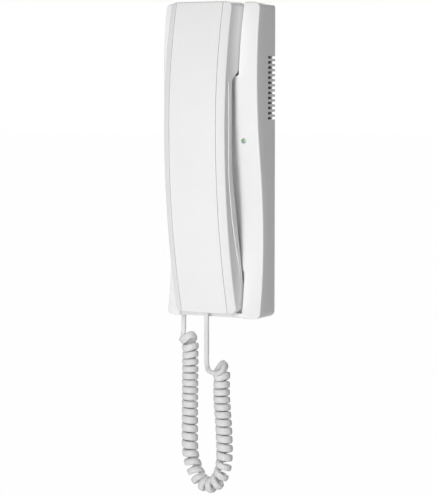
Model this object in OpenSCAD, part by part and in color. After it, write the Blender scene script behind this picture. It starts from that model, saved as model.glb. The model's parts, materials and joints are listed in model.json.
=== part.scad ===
// Slimline wall handset station: a wave-fronted base with a clip-in handset and a curly cord.
// X runs to the right, Z up, and the wall is the plane Y = 0. A depth is measured out from the
// wall, along -Y. The origin is midway between the two wall screws.

/* [Base] */
// Width of the base
base_w = 70; // [68:0.5:80]
// Height of the base
base_h = 210; // [206:1:225]
// Corner radius of the base seen from the front
base_corner_r = 4; // [2:0.5:6]
// Wall of the moulded cover
cover_wall = 2; // [1.6:0.1:2.4]
// How much each side of the base draws in towards the front
base_taper = 0.2; // [0:0.1:0.6]
// Depth of the front at the upper crest of the wave
crest_depth = 28.2; // [27:0.1:30]
// Depth of the front at the lower trough of the wave
trough_depth = 18; // [17.5:0.1:19]
// Distance from the top of the base down to the crest
crest_from_top = 48; // [44:1:52]
// Distance from the bottom of the base up to the trough
trough_from_bottom = 50; // [46:1:54]
// Radius of the front above the crest
brow_r = 240; // [220:5:280]
// Radius of the front below the trough
foot_r = 224; // [210:5:260]

/* [Pocket for the handset] */
// Depth of the ear recess's floor
ear_floor_depth = 12; // [11.5:0.1:12.6]
// Depth of the mouth recess's floor and the finger scoop's floor
mouth_floor_depth = 13; // [12.8:0.1:13.6]
// Wall behind the recesses
pocket_wall = 1.6; // [1.2:0.1:1.8]
// Gap beside the ear end of the handset, low down
ear_side_gap_low = 0.9; // [0.8:0.1:1.4]
// Gap beside the ear end of the handset, at the top
ear_side_gap_top = 2.9; // [2:0.1:3.5]
// Gap beside the mouth end of the handset
mouth_side_gap = 1; // [0.8:0.1:1.6]
// Distance from the bottom of the base up to the top of the mouth recess
mouth_recess_h = 43; // [38:1:48]
// Distance from the top of the base down to the finger scoop
scoop_from_top = 52; // [52:0.5:54]
// Distance from the bottom of the base up to the foot of the finger scoop
scoop_from_bottom = 35; // [30:1:40]
// Gap beside the grip at the edge of the finger scoop
scoop_side_gap = 0.3; // [0.2:0.1:1]
// Slope of the finger scoop's sides
scoop_slope = 55; // [50:1:60]
// Width of the eased edge of the finger scoop
scoop_ease = 2.2; // [1.5:0.1:2.6]
// Height of the lip below the mouth end
lip_h = 3.2; // [3:0.1:4]
// Depth of the lip's front
lip_depth = 20; // [18:0.5:22]

/* [Handset] */
// Width of the handset at the edge of its bevels
handset_w = 44.6; // [43:0.1:45.4]
// How far the handset's centre lies left of the base's centre
handset_shift = 2; // [1.5:0.1:2.5]
// Depth of the handset's front at its fullest
bow_depth = 50.1; // [49:0.1:52]
// Distance from the top of the base down to the fullest point
bow_from_top = 83; // [78:1:88]
// Radius of the bow above its fullest point
bow_upper_r = 300; // [280:5:340]
// Radius of the bow below its fullest point
bow_lower_r = 430; // [410:5:500]
// Width of the centre panel
panel_w = 34.2; // [32:0.1:36]
// Depth of the bevel beside the panel
bevel_depth = 2.9; // [2:0.1:3.5]
// Corner radius of the handset seen from the front
handset_corner_r = 4; // [2:0.5:5]
// Wall of the handset's shells
handset_wall = 2; // [1.6:0.1:2.2]
// Thickness of the centre panel
panel_t = 1; // [0.8:0.1:1.2]
// Width of the seam beside the panel
seam_w = 0.4; // [0.2:0.1:0.6]
// Gap between the seated handset and the base
seat_gap = 0.3; // [0.2:0.05:0.5]
// Depth of the grip's back
grip_back_depth = 34.5; // [34:0.1:36]
// Distance from the top of the base down to the grip's top end
ear_end_h = 50.5; // [50:0.5:52]
// Rise of the slanted end under the ear, for each millimetre of depth
ear_end_lean = 0.53; // [0.45:0.01:0.6]
// Gap between that slant and the base, measured up and down
ear_end_gap = 1.4; // [1:0.1:2]
// Distance from the top of the base down to where the grip's back starts to slant
slant_from_top = 110; // [106:1:114]
// Depth of the back where the gentle slant gives way to the steeper drop to the mouth end
shoulder_depth = 17.4; // [17:0.1:18]
// Distance from the bottom of the base up to that change of slope
shoulder_from_bottom = 25; // [24:0.5:27]
// Distance from the bottom of the base up to where the drop meets the mouth end
drop_from_bottom = 19; // [18.5:0.5:20]
// Chamfer on the back edges of the handset
grip_chamfer = 2.4; // [1.5:0.1:3]

/* [Side vents] */
// Number of sounder slots in the right side
vent_count = 13; // [6:1:13]
// Distance between two slots
vent_pitch = 3.36; // [3:0.02:3.4]
// Height of a slot
vent_h = 1.5; // [1:0.1:1.8]
// Depth that the slots reach
vent_depth = 11.2; // [8:0.1:12]
// Distance from the top of the base down to the middle of the row
vent_from_top = 56.3; // [54:0.1:58]

/* [Status light] */
// Diameter of the round window
light_d = 3; // [2.5:0.1:3.2]
// Distance from the right edge of the base to the window's centre
light_from_side = 11.5; // [11:0.1:12]
// Distance from the top of the base down to the window's centre
light_from_top = 91.3; // [88:0.1:96]

/* [Hook plunger and release key] */
// Diameter of the plunger
plunger_d = 6; // [5:0.1:7]
// Travel of the plunger
plunger_travel = 4; // [3.6:0.1:4.2]
// Distance from the top of the base down to the plunger
plunger_from_top = 8; // [8:0.5:10]
// Diameter of the release key
key_d = 12; // [10:0.5:14]
// Travel of the release key
key_travel = 1.2; // [0.8:0.1:1.3]
// How far the release key stands out of the scoop's floor
key_rise = 2; // [1.8:0.1:3]
// Distance from the top of the base down to the key
key_from_top = 115; // [110:1:118]

/* [Wall plate] */
// Thickness of the wall plate
plate_t = 2; // [1.8:0.1:2.2]
// Gap between the plate and the cover
plate_gap = 0.2; // [0.1:0.05:0.4]
// Distance between the two wall screws
wall_screw_pitch = 100; // [96:1:104]
// Diameter of the wall screw holes
wall_screw_d = 4.4; // [4:0.1:5]
// Width of the cable entry
cable_entry_w = 24; // [16:1:26]
// Height of the cable entry
cable_entry_h = 16; // [12:1:18]
// Distance from the bottom of the base up to the cable entry's centre
cable_entry_from_bottom = 33; // [32:1:38]

/* [Cord] */
// Width of the flat cord
cord_w = 4.4; // [4:0.1:4.4]
// Thickness of the flat cord
cord_t = 3.2; // [2.8:0.1:3.4]
// Number of curls
curl_count = 35; // [34:1:35]
// Radius of the curls at the middle of the cord
curl_r = 4.05; // [3.9:0.05:4.2]

/* [Hidden] */
$fn = 48;

// Heights and depths that the sizes above give
top_z = base_h / 2;
bottom_z = -base_h / 2;
crest_z = top_z - crest_from_top;
trough_z = bottom_z + trough_from_bottom;
wave_mid_z = (crest_z + trough_z) / 2;
half_span = (crest_z - trough_z) / 2;
half_drop = (crest_depth - trough_depth) / 2;
wave_r = (half_span * half_span + half_drop * half_drop) / (2 * half_drop);
reach = 60;
far = 140;
cut = 1;
beyond = 8;
curve_steps = 30;
inner_corner = 0.9;

// The handset's place in the base
handset_x = -handset_shift;
handset_bottom_z = bottom_z + lip_h + seat_gap;
half_w = handset_w / 2;
half_panel = panel_w / 2;
bow_z = top_z - bow_from_top;
ear_back_depth = ear_floor_depth + seat_gap;
mouth_back_depth = mouth_floor_depth + seat_gap;
ear_end_z = top_z - ear_end_h;
slant_top_z = top_z - slant_from_top;
shoulder_z = bottom_z + shoulder_from_bottom;
drop_bottom_z = bottom_z + drop_from_bottom;
slant_rate = (grip_back_depth - shoulder_depth) / (slant_top_z - shoulder_z);
drop_rate = (shoulder_depth - mouth_back_depth) / (shoulder_z - drop_bottom_z);
bevel_angle = atan(bevel_depth / (half_w - half_panel));
ear_end_slope = sqrt(1 + ear_end_lean * ear_end_lean);
scoop_head_rise = 2;
scoop_head_run = 7;
chamfer_shift = 1.6;
chamfer_run_out = 3;

// Parting line between the handset's two shells: along the ear and the mouth, along the grip, and
// between them the shares of the slant's length and of the drop
parting_depth = 18;
parting_grip_depth = 41.2;
parting_ear_run = 13.5;
parting_ear_foot = 2.5;
parting_bend = 2;
parting_mouth_run = 3.5;
parting_curve = [[0.16, 0.06], [0.41, 0.23], [0.6, 0.43], [0.75, 0.61], [0.86, 0.75]];

// Inside the base
plate_x = base_w / 2 - cover_wall - plate_gap;
plate_z = base_h / 2 - cover_wall - plate_gap;
board_t = 1.6;
board_post_h = 2;
board_depth = plate_t + board_post_h;
board_top_depth = board_depth + board_t;
board_side_gap = 0.8;
board_right_x = plate_x - board_side_gap;
board_left_gap = 0.3;
board_left_x = handset_x - half_w + board_left_gap;
board_h = 76;
board_hole_inset = 3;
board_hole_d = 2.2;
board_screw_d = 2;
board_screw_head_d = 4.2;
board_screw_head_h = 1.4;
board_post_d = 5;
screw_pilot_gap = 0.05;

// Sounder behind the side vents; the board starts below it
vent_z = top_z - vent_from_top;
ringer_d = 24;
ringer_t = 4.5;
ringer_bore_d = 4;
ringer_back_t = 1;
ringer_side_gap = 1.8;
ringer_board_gap = 0.7;
ringer_x = plate_x - ringer_side_gap - ringer_d / 2;
ringer_z = vent_z;
board_top_z = ringer_z - ringer_d / 2 - ringer_board_gap;
board_bottom_z = board_top_z - board_h;

// Terminal block, in the room beside the mouth recess
terminal_side_gap = 0.3;
terminal_left_x = handset_x + half_w + mouth_side_gap + pocket_wall + terminal_side_gap;
terminal_w = board_right_x - terminal_left_x;
terminal_pole_h = 5;
terminal_poles = 6;
terminal_depth = 10;
terminal_foot = 4;
terminal_inset = 2;
terminal_x = board_right_x - terminal_w / 2;
terminal_bottom_z = board_bottom_z + terminal_inset;
terminal_screw_d = 3;
terminal_screw_gap = 0.2;
terminal_screw_sink = 1.5;
terminal_mouth_d = 2.6;
board_screw_places = [[board_left_x + board_hole_inset, board_top_z - board_hole_inset],
                      [board_right_x - board_hole_inset, board_top_z - board_hole_inset],
                      [board_left_x + board_hole_inset, board_bottom_z + board_hole_inset],
                      [terminal_left_x - board_post_d, board_bottom_z + board_hole_inset]];

capacitor_d = 6.3;
capacitor_h = 5;
capacitor_insets = [11, 8];
capacitor_drops = [16, 28];
capacitor_places = [for (i = [0, 1]) [board_left_x + capacitor_insets[i], board_top_z - capacitor_drops[i]]];
chip_w = 10;
chip_h = 6;
chip_t = 1.6;
chip_inset = 28;
chip_rise = 34;
chip_left_x = board_left_x + chip_inset;
chip_bottom_z = board_bottom_z + chip_rise;

light_x = base_w / 2 - light_from_side;
light_z = top_z - light_from_top;
led_w = 2.4;
led_l = 2;
led_h = 1.4;
light_gap = 0.2;
light_proud = 0.3;
light_hole_gap = 0.05;
light_hole_start = 3;
light_flange_rim = 0.7;
light_flange_t = 1.2;

// Hook plunger, its switch and its spring
plunger_x = handset_x;
plunger_z = top_z - plunger_from_top;
plunger_hole_gap = 0.2;
plunger_gap = 0.1;
plunger_top_depth = ear_back_depth - plunger_gap;
plunger_flange_d = 9;
plunger_flange_t = 1.4;
plunger_stop_depth = ear_floor_depth - pocket_wall;
plunger_flange_depth = plunger_stop_depth - plunger_travel - plunger_flange_t - plunger_gap;
hook_switch_w = 4.8;
hook_switch_gap = 0.1;
hook_switch_top_depth = plunger_flange_depth - hook_switch_gap;
hook_switch_body_h = 2;
hook_button_d = 2.6;
spring_wire_d = 0.5;
spring_coil_r = 4;
spring_turns = 3;
rings_per_turn = 12;

// Release key and its switch
key_x = handset_x;
key_z = top_z - key_from_top;
key_hole_gap = 0.3;
key_flange_rim = 1.5;
key_flange_d = key_d + 2 * key_flange_rim;
key_flange_t = 1.2;
key_flange_gap = 0.1;
key_flange_top_depth = mouth_floor_depth - pocket_wall - key_flange_gap;
key_stem_d = 4;
key_stem_gap = 0.1;
key_switch_w = 6;
key_switch_body_h = 1.5;
key_switch_h = 2.2;
key_button_d = 3.4;
key_switch_top_depth = board_top_depth + key_switch_h;
key_stem_depth = key_switch_top_depth + key_travel + key_stem_gap;

// Case screw and its boss on the plate
case_screw_x = 10;
case_screw_rise = 4;
case_screw_depth = plate_t + case_screw_rise;
case_screw_gap = 0.2;
case_head_gap = 0.1;
case_pilot_end = 0.4;
case_screw_d = 3;
case_screw_head_d = 5.4;
case_screw_head_h = 1;
case_screw_l = 9;
case_boss_w = 8;
case_boss_wall = 3;
case_boss_h = 11;
case_boss_top_z = bottom_z + case_boss_h;

// Two tabs that keep the top of the cover in line
tab_x = 20;
tab_w = 10;
tab_t = 1.6;
tab_h = 5;

// Handset pieces
capsule_d = 30;
capsule_t = 8;
capsule_step_d = 18;
capsule_step_t = 4.8;
capsule_ring_t = 0.8;
capsule_ring_h = 2.8;
capsule_ring_d = 32;
capsule_ring_lip = 3;
capsule_gap = 0.5;
capsule_seat_depth = ear_back_depth + handset_wall;
capsule_z = ear_end_z + (grip_back_depth - capsule_seat_depth) * ear_end_lean
            + handset_wall * ear_end_slope + capsule_gap + capsule_ring_d / 2;
sound_hole_d = 2;
sound_hole_ring_r = 7;
sound_hole_count = 6;
boot_d = 12;
boot_t = 7;
boot_gap = 0.6;
boot_z = handset_bottom_z + handset_wall + boot_gap + boot_d / 2;
boot_seat_depth = mouth_back_depth + handset_wall + boot_gap;
microphone_d = 9.7;
microphone_t = 5.8;
microphone_hole_d = 1.6;
ballast_l = 50;
ballast_w = 14;
ballast_from_bow = 12;
ballast_z = bow_z - ballast_from_bow;
ballast_rib_h = 2.2;
ballast_rib_t = 1.6;
ballast_rib_inset = 6;
ballast_room = 4.4;
ballast_seat_depth = grip_back_depth + handset_wall + ballast_rib_h;
ballast_t = bow_depth - handset_wall - ballast_room - ballast_seat_depth;
handset_screw_d = 2.8;
handset_screw_head_d = 5;
handset_screw_head_h = 1.6;
handset_head_gap = 0.2;
handset_boss_d = 6.4;
handset_screw_bite = 3;
handset_screw_end = 1;
upper_screw_drop = 12;
lower_screw_drop = 80;
upper_screw_z = ear_end_z - upper_screw_drop;
lower_screw_z = ear_end_z - lower_screw_drop;
handset_screw_gap = 0.1;

// Cord: where it leaves the base and the handset, its exits' bushings and its route.
// Each point is x, depth, z. The curl's axis also gives the distance between two curls there, and how
// far a curl leans: it rises by so much on the side that lean_side points to, and sinks on the other.
bushing_drop = 0.8;
bushing_w = 4.6;
bushing_t = 5;
bushing_gap = 0.1;
bushing_flange_h = 5;
bushing_flange_t = 6.4;
bushing_flange_gap = 0.2;
base_exit_from_side = 5.6;
handset_exit_shift = 1.2;
exit_boot_gap = 0.18;
base_exit = [base_exit_from_side - base_w / 2, 9];
handset_exit = [handset_x - handset_exit_shift,
                boot_seat_depth + boot_t + bushing_flange_t / 2 + exit_boot_gap];
base_lead_points = [concat(base_exit, bottom_z - bushing_drop), [-29.4, 9, -109], [-29.5, 9, -113]];
base_turn_points = [[-29.5, 9, -113], [-29.6, 9, -117.3], [-30, 9.3, -120.4]];
axis_points = [[-28, 9, -120.8, 8.2, 1.6], [-25.5, 9, -123.4, 7.4, 1.8], [-24.4, 9, -127.9, 5.4, 2],
               [-24.4, 9, -134, 5, 1.7], [-24.5, 9, -145.4, 4.8, 0.9], [-24.7, 9, -160.4, 4.8, 0.7],
               [-24.8, 9.2, -180.4, 5.6, 0.6], [-24.2, 9.8, -200.4, 6.1, 0.4], [-20.3, 11.6, -211.3, 6.6, 0.2],
               [-14.2, 14.6, -218.7, 6.8, 0], [-6.7, 17.6, -221.1, 7, 0], [1, 21, -218.5, 6.8, 0],
               [6.4, 22.6, -210.5, 6.6, 0.2], [8.6, 23.3, -200, 6.2, 0.4], [8.4, 23.6, -182, 5.5, 0.6],
               [7.2, 24, -163, 5, 0.7], [6.8, 24, -153, 5, 1.1], [7, 23.8, -146.5, 6, 1.8],
               [6.9, 24.8, -140.6, 8, 1.6], [6.6, 28.6, -138.4, 9, 1.4]];
handset_turn_points = [[0.4, 29, -141], [-2, 27.4, -138.8], [-3.1, 26.4, -135.5],
                       [-3.2, 26.3, -131.5], [-3.2, 26.3, -127]];
handset_lead_points = [[-3.2, 26.3, -127], [-3.2, 26.3, -119], [-3.2, 26.3, -111],
                       concat(handset_exit, handset_bottom_z - bushing_drop)];
curl_start_angle = 222;
rings_per_curl = 8;
curl_sides = 6;
lead_sides = 8;

// Wires inside: x from the cord's exit, depth, and height above the board's lower edge; and the
// same with the height above the handset's lower end
wire_d = 1.2;
wire_run = 3;
base_wire_route = [[0, 8.6, -40], [1.4, 8.2, -20], [8.4, 8, -8], [13, 7.4, 4], [14, 6.3, 16]];
handset_wire_route = [[-7, 29, 23.5], [-11, 34, 46.5], [-12, 39, 71.5], [-12, 42, 101.5],
                      [-12, 42.5, 131.5], [-11, 41, 151.5], [-9, 35.5, 163.5],
                      [-5, 27, 175.5], [-3, 23.8, 180.5]];

// Directions along the cord's thickness and along its width where it hangs straight, and the side
// on which a leaning curl rises
flat_across = [-0.93, -0.37, 0];
flat_along = [0.37, 0.93, 0];
lean_side = [0.9, 0.44, 0];
axis_steps = 8;

// ---------- shapes shared by the pieces ----------

// How far an arc of radius r drops at the distance t from its crown
function sag(r, t) = r - sqrt(r * r - t * t);

function face_depth(z) =
    z > crest_z ? crest_depth - sag(brow_r, z - crest_z) :
    z > wave_mid_z ? crest_depth - sag(wave_r, crest_z - z) :
    z > trough_z ? trough_depth + sag(wave_r, z - trough_z) :
    trough_depth + sag(foot_r, trough_z - z);

function bow(z) =
    z > bow_z ? bow_depth - sag(bow_upper_r, z - bow_z) :
    bow_depth - sag(bow_lower_r, bow_z - z);

function steps(low, high, count) = [for (i = [0 : count]) low + (high - low) * i / count];

// Steps that lie a share of a step off those of steps(), so that no two surfaces' edges meet in one
// point
function shifted_steps(low, high, count, share) =
    let (step = (high - low) / count)
    steps(low - step * share, high + step * (1 - share), count + 1);

// An outline of [z, depth] points, extruded from x0 to x1
module side_prism(points, x0, x1) {
    translate([x0, 0, 0])
        rotate([90, 0, 90])
            linear_extrude(x1 - x0)
                polygon([for (p = points) [-p[1], p[0]]]);
}

// Outline of [x, z] children, extruded between two depths
module in_depth(d0, d1) {
    rotate([90, 0, 0])
        translate([0, 0, d0])
            linear_extrude(d1 - d0)
                children();
}

module rounded_rect(w, h, r) {
    square([w - 2 * r, h], center = true);
    square([w, h - 2 * r], center = true);
    for (x = [-1, 1], z = [-1, 1])
        translate([x * (w / 2 - r), z * (h / 2 - r)])
            circle(r);
}

module depth_cylinder(d, x, z, d0, d1) {
    translate([x, -d0, z])
        rotate([90, 0, 0])
            cylinder(d = d, h = d1 - d0);
}

module depth_box(x0, x1, z0, z1, d0, d1) {
    translate([x0, -d1, z0])
        cube([x1 - x0, d1 - d0, z1 - z0]);
}

// ---------- base ----------

function base_profile(inset) = concat(
    [for (z = steps(bottom_z + inset, top_z - inset, curve_steps)) [z, face_depth(z) - inset]],
    [[top_z - inset, inset > 0 ? -cut : 0], [bottom_z + inset, inset > 0 ? -cut : 0]]);

module base_solid(inset) {
    half = base_w / 2 - inset;
    intersection() {
        side_prism(base_profile(inset), -half, half);
        in_depth(-cut * 2, reach)
            rounded_rect(2 * half, base_h - 2 * inset, base_corner_r - inset * inner_corner);
        translate([0, 0, bottom_z - cut])
            linear_extrude(base_h + 2 * cut)
                polygon([[-half, 2 * cut], [half, 2 * cut], [half, 0],
                         [half - base_taper, -crest_depth - cut],
                         [-half + base_taper, -crest_depth - cut], [-half, 0]]);
    }
}

// The base's own slanted wall under the ear end runs parallel to the handset's slant
function ledge_z(depth) = ear_end_z + (grip_back_depth - depth) * ear_end_lean - ear_end_gap;

module ear_recess(grow) {
    low = half_w + ear_side_gap_low + grow;
    flare = (ear_side_gap_top - ear_side_gap_low) / (top_z - ear_end_z);
    high = low + flare * (top_z + cut - ear_end_z);
    floor_d = ear_floor_depth - grow;
    drop = grow * ear_end_slope;
    front_d = grip_back_depth + beyond;
    intersection() {
        in_depth(floor_d, reach)
            polygon([[handset_x - low, ear_end_z], [handset_x - low, ear_end_z - beyond],
                     [handset_x + low, ear_end_z - beyond], [handset_x + low, ear_end_z],
                     [handset_x + high, top_z + cut], [handset_x - high, top_z + cut]]);
        side_prism([[ledge_z(floor_d) - drop, floor_d], [ledge_z(front_d) - drop, front_d],
                    [top_z + cut, front_d], [top_z + cut, floor_d]], -base_w, base_w);
    }
}

// Everything in front of the wave front, sloping down towards the middle from an edge on each side
module trough_sides(edge, slope, grow, share) {
    outline = concat(
        [for (z = shifted_steps(bottom_z, top_z, curve_steps, share))
            [z, face_depth(z) * cos(slope) - grow]],
        [[top_z + beyond, far], [bottom_z - beyond, far]]);
    intersection() {
        translate([handset_x + edge, 0, 0])
            rotate([0, 0, -slope])
                side_prism(outline, -far, far);
        translate([handset_x - edge, 0, 0])
            rotate([0, 0, slope])
                side_prism(outline, -far, far);
    }
}

module finger_scoop(grow) {
    edge = half_w + scoop_side_gap;
    floor_d = mouth_floor_depth - grow;
    head_z = top_z - scoop_from_top + grow;
    foot_z = bottom_z + scoop_from_bottom - grow;
    intersection() {
        side_prism([[foot_z, floor_d], [foot_z, reach], [head_z + scoop_head_rise, reach],
                    [head_z, crest_depth], [head_z - scoop_head_run, floor_d]], -base_w, base_w);
        union() {
            trough_sides(edge, scoop_slope, grow, 0.5);
            trough_sides(edge + scoop_ease, scoop_slope / 2, grow, 0.25);
        }
    }
}

module mouth_recess(grow) {
    half = half_w + mouth_side_gap + grow;
    depth_box(handset_x - half, handset_x + half, bottom_z + lip_h - grow, bottom_z + mouth_recess_h + grow,
              mouth_floor_depth - grow, reach);
}

module pockets(grow) {
    ear_recess(grow);
    finger_scoop(grow);
    mouth_recess(grow);
}

module lip_cut() {
    half = half_w + mouth_side_gap;
    depth_box(handset_x - half, handset_x + half, bottom_z - cut, bottom_z + lip_h + cut, lip_depth, reach);
}

module vent_slots() {
    for (i = [0 : vent_count - 1]) {
        slot_z = vent_z + (i - (vent_count - 1) / 2) * vent_pitch;
        depth_box(base_w / 2 - cover_wall - cut, base_w / 2 + cut, slot_z - vent_h / 2, slot_z + vent_h / 2,
                  -cut, vent_depth);
    }
}

// Oval round the cord's place, seen along the cord
module bushing_oval(exit, length, grow) {
    translate([exit[0], -exit[1]]) {
        square([bushing_w + 2 * grow, length - bushing_w], center = true);
        for (side = [-1, 1])
            translate([0, side * (length - bushing_w) / 2])
                circle(bushing_w / 2 + grow);
    }
}

module front_cover() {
    color("whitesmoke")
        difference() {
            union() {
                difference() {
                    base_solid(0);
                    base_solid(cover_wall);
                }
                intersection() {
                    base_solid(0);
                    pockets(pocket_wall);
                }
            }
            pockets(0);
            lip_cut();
            vent_slots();
            depth_cylinder(light_d + 2 * light_hole_gap, light_x, light_z,
                           board_top_depth + light_hole_start, reach);
            depth_cylinder(plunger_d + 2 * plunger_hole_gap, plunger_x, plunger_z, plate_t,
                           ear_floor_depth + cut);
            depth_cylinder(key_d + 2 * key_hole_gap, key_x, key_z, board_top_depth,
                           mouth_floor_depth + cut);
            translate([case_screw_x, -case_screw_depth, bottom_z - cut])
                cylinder(d = case_screw_d + 2 * case_screw_gap, h = cover_wall + 2 * cut);
            translate([case_screw_x, -case_screw_depth, bottom_z - cut])
                cylinder(d = case_screw_head_d + 2 * case_head_gap, h = case_screw_head_h + cut);
            translate([0, 0, bottom_z - cut])
                linear_extrude(cover_wall + 2 * cut)
                    bushing_oval(base_exit, bushing_t, bushing_gap);
        }
}

module rear_plate() {
    color("gainsboro")
        difference() {
            union() {
                in_depth(0, plate_t)
                    rounded_rect(2 * plate_x, 2 * plate_z, base_corner_r - cover_wall * inner_corner);
                for (p = board_screw_places)
                    depth_cylinder(board_post_d, p[0], p[1], plate_t - cut / 2, board_depth);
                depth_box(case_screw_x - case_boss_w / 2, case_screw_x + case_boss_w / 2,
                          -plate_z, case_boss_top_z, plate_t - cut / 2, case_screw_depth + case_boss_wall);
                for (x = [-tab_x, tab_x])
                    depth_box(x - tab_w / 2, x + tab_w / 2, plate_z - tab_t, plate_z, plate_t - cut / 2,
                              plate_t + tab_h);
            }
            for (z = [-1, 1])
                depth_cylinder(wall_screw_d, 0, z * wall_screw_pitch / 2, -cut, plate_t + cut);
            depth_box(handset_x - cable_entry_w / 2, handset_x + cable_entry_w / 2,
                      bottom_z + cable_entry_from_bottom - cable_entry_h / 2,
                      bottom_z + cable_entry_from_bottom + cable_entry_h / 2, -cut, plate_t + cut);
            for (p = board_screw_places)
                depth_cylinder(board_screw_d + 2 * screw_pilot_gap, p[0], p[1], -cut, board_depth + cut);
            translate([case_screw_x, -case_screw_depth, bottom_z])
                cylinder(d = case_screw_d + 2 * screw_pilot_gap,
                         h = case_screw_l + case_screw_head_h + case_pilot_end);
        }
}

module case_screw() {
    color("silver")
        translate([case_screw_x, -case_screw_depth, bottom_z]) {
            cylinder(d = case_screw_head_d, h = case_screw_head_h);
            cylinder(d = case_screw_d, h = case_screw_head_h + case_screw_l);
        }
}

// ---------- inside the base ----------

module circuit_board() {
    color("seagreen")
        difference() {
            depth_box(board_left_x, board_right_x, board_bottom_z, board_top_z, board_depth,
                      board_top_depth);
            for (p = board_screw_places)
                depth_cylinder(board_hole_d, p[0], p[1], board_depth - cut, board_top_depth + cut);
        }
}

module board_screws() {
    color("silver")
        for (p = board_screw_places) {
            depth_cylinder(board_screw_d, p[0], p[1], plate_t / 2,
                           board_top_depth + board_screw_head_h / 2);
            depth_cylinder(board_screw_head_d, p[0], p[1], board_top_depth,
                           board_top_depth + board_screw_head_h);
        }
}

function pole_z(i) = terminal_bottom_z + (i + 0.5) * terminal_pole_h;

module terminal_block() {
    color("mediumseagreen")
        difference() {
            depth_box(terminal_left_x, board_right_x, terminal_bottom_z,
                      terminal_bottom_z + terminal_poles * terminal_pole_h,
                      board_top_depth, board_top_depth + terminal_depth);
            for (i = [0 : terminal_poles - 1]) {
                depth_cylinder(terminal_screw_d + 2 * terminal_screw_gap, terminal_x, pole_z(i),
                               board_top_depth + terminal_foot, board_top_depth + terminal_depth + cut);
                translate([terminal_left_x - cut, -board_top_depth - terminal_mouth_d, pole_z(i)])
                    rotate([0, 90, 0])
                        cylinder(d = terminal_mouth_d, h = terminal_w / 2);
            }
        }
}

module terminal_screws() {
    color("silver")
        for (i = [0 : terminal_poles - 1])
            depth_cylinder(terminal_screw_d, terminal_x, pole_z(i), board_top_depth + terminal_foot,
                           board_top_depth + terminal_depth - terminal_screw_sink);
}

module ringer() {
    color("dimgray")
        difference() {
            depth_cylinder(ringer_d, ringer_x, ringer_z, plate_t, plate_t + ringer_t);
            depth_cylinder(ringer_bore_d, ringer_x, ringer_z, plate_t + ringer_back_t,
                           plate_t + ringer_t + cut);
        }
}

module hook_switch() {
    color("darkslategray")
        union() {
            depth_box(plunger_x - hook_switch_w / 2, plunger_x + hook_switch_w / 2,
                      plunger_z - hook_switch_w / 2, plunger_z + hook_switch_w / 2,
                      plate_t, plate_t + hook_switch_body_h);
            depth_cylinder(hook_button_d, plunger_x, plunger_z, plate_t + hook_switch_body_h / 2,
                           hook_switch_top_depth);
        }
}

module status_led() {
    color("palegreen")
        depth_box(light_x - led_w / 2, light_x + led_w / 2, light_z - led_l / 2, light_z + led_l / 2,
                  board_top_depth, board_top_depth + led_h);
}

module light_pipe() {
    base_d = board_top_depth + led_h + light_gap;
    color("honeydew")
        union() {
            depth_cylinder(light_d, light_x, light_z, base_d, face_depth(light_z) + light_proud);
            depth_cylinder(light_d + 2 * light_flange_rim, light_x, light_z, base_d,
                           base_d + light_flange_t);
        }
}

module key_switch() {
    color("black")
        union() {
            depth_box(key_x - key_switch_w / 2, key_x + key_switch_w / 2, key_z - key_switch_w / 2,
                      key_z + key_switch_w / 2, board_top_depth, board_top_depth + key_switch_body_h);
            depth_cylinder(key_button_d, key_x, key_z, board_top_depth + key_switch_body_h / 2,
                           key_switch_top_depth);
        }
}

module capacitors() {
    color("steelblue")
        for (p = capacitor_places)
            depth_cylinder(capacitor_d, p[0], p[1], board_top_depth, board_top_depth + capacitor_h);
}

module board_chip() {
    color("black")
        depth_box(chip_left_x, chip_left_x + chip_w, chip_bottom_z, chip_bottom_z + chip_h,
                  board_top_depth, board_top_depth + chip_t);
}

// Moulded on the cord: a neck that fills the hole in the wall and a flange behind the wall
module bushing(exit, wall_z, wall) {
    color("lightgray")
        union() {
            translate([0, 0, wall_z - bushing_drop])
                linear_extrude(bushing_drop + wall + bushing_flange_h)
                    bushing_oval(exit, bushing_t, 0);
            translate([0, 0, wall_z + wall + bushing_flange_gap])
                linear_extrude(bushing_flange_h - bushing_flange_gap)
                    bushing_oval(exit, bushing_flange_t, 0);
        }
}

module cord_base_bushing() {
    bushing(base_exit, bottom_z, cover_wall);
}

module cord_handset_bushing() {
    bushing(handset_exit, handset_bottom_z, handset_wall);
}

// ---------- moving pieces in the base ----------

module hook_plunger() {
    color("gainsboro")
        union() {
            depth_cylinder(plunger_d, plunger_x, plunger_z, plunger_flange_depth, plunger_top_depth);
            depth_cylinder(plunger_flange_d, plunger_x, plunger_z, plunger_flange_depth,
                           plunger_flange_depth + plunger_flange_t);
        }
}

module release_key() {
    color("gainsboro")
        union() {
            depth_cylinder(key_d, key_x, key_z, key_flange_top_depth - key_flange_t / 2,
                           mouth_floor_depth + key_rise);
            depth_cylinder(key_flange_d, key_x, key_z, key_flange_top_depth - key_flange_t,
                           key_flange_top_depth);
            depth_cylinder(key_stem_d, key_x, key_z, key_stem_depth, key_flange_top_depth);
        }
}

// ---------- handset ----------

// Where a corner of the back line lies when the line is drawn in by inset; the rates are the depths
// that the line gains for each millimetre of height above the corner and below it
function drawn_in(z, above, below, inset) =
    z + inset * (sqrt(1 + above * above) - sqrt(1 + below * below)) / (below - above);

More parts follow.
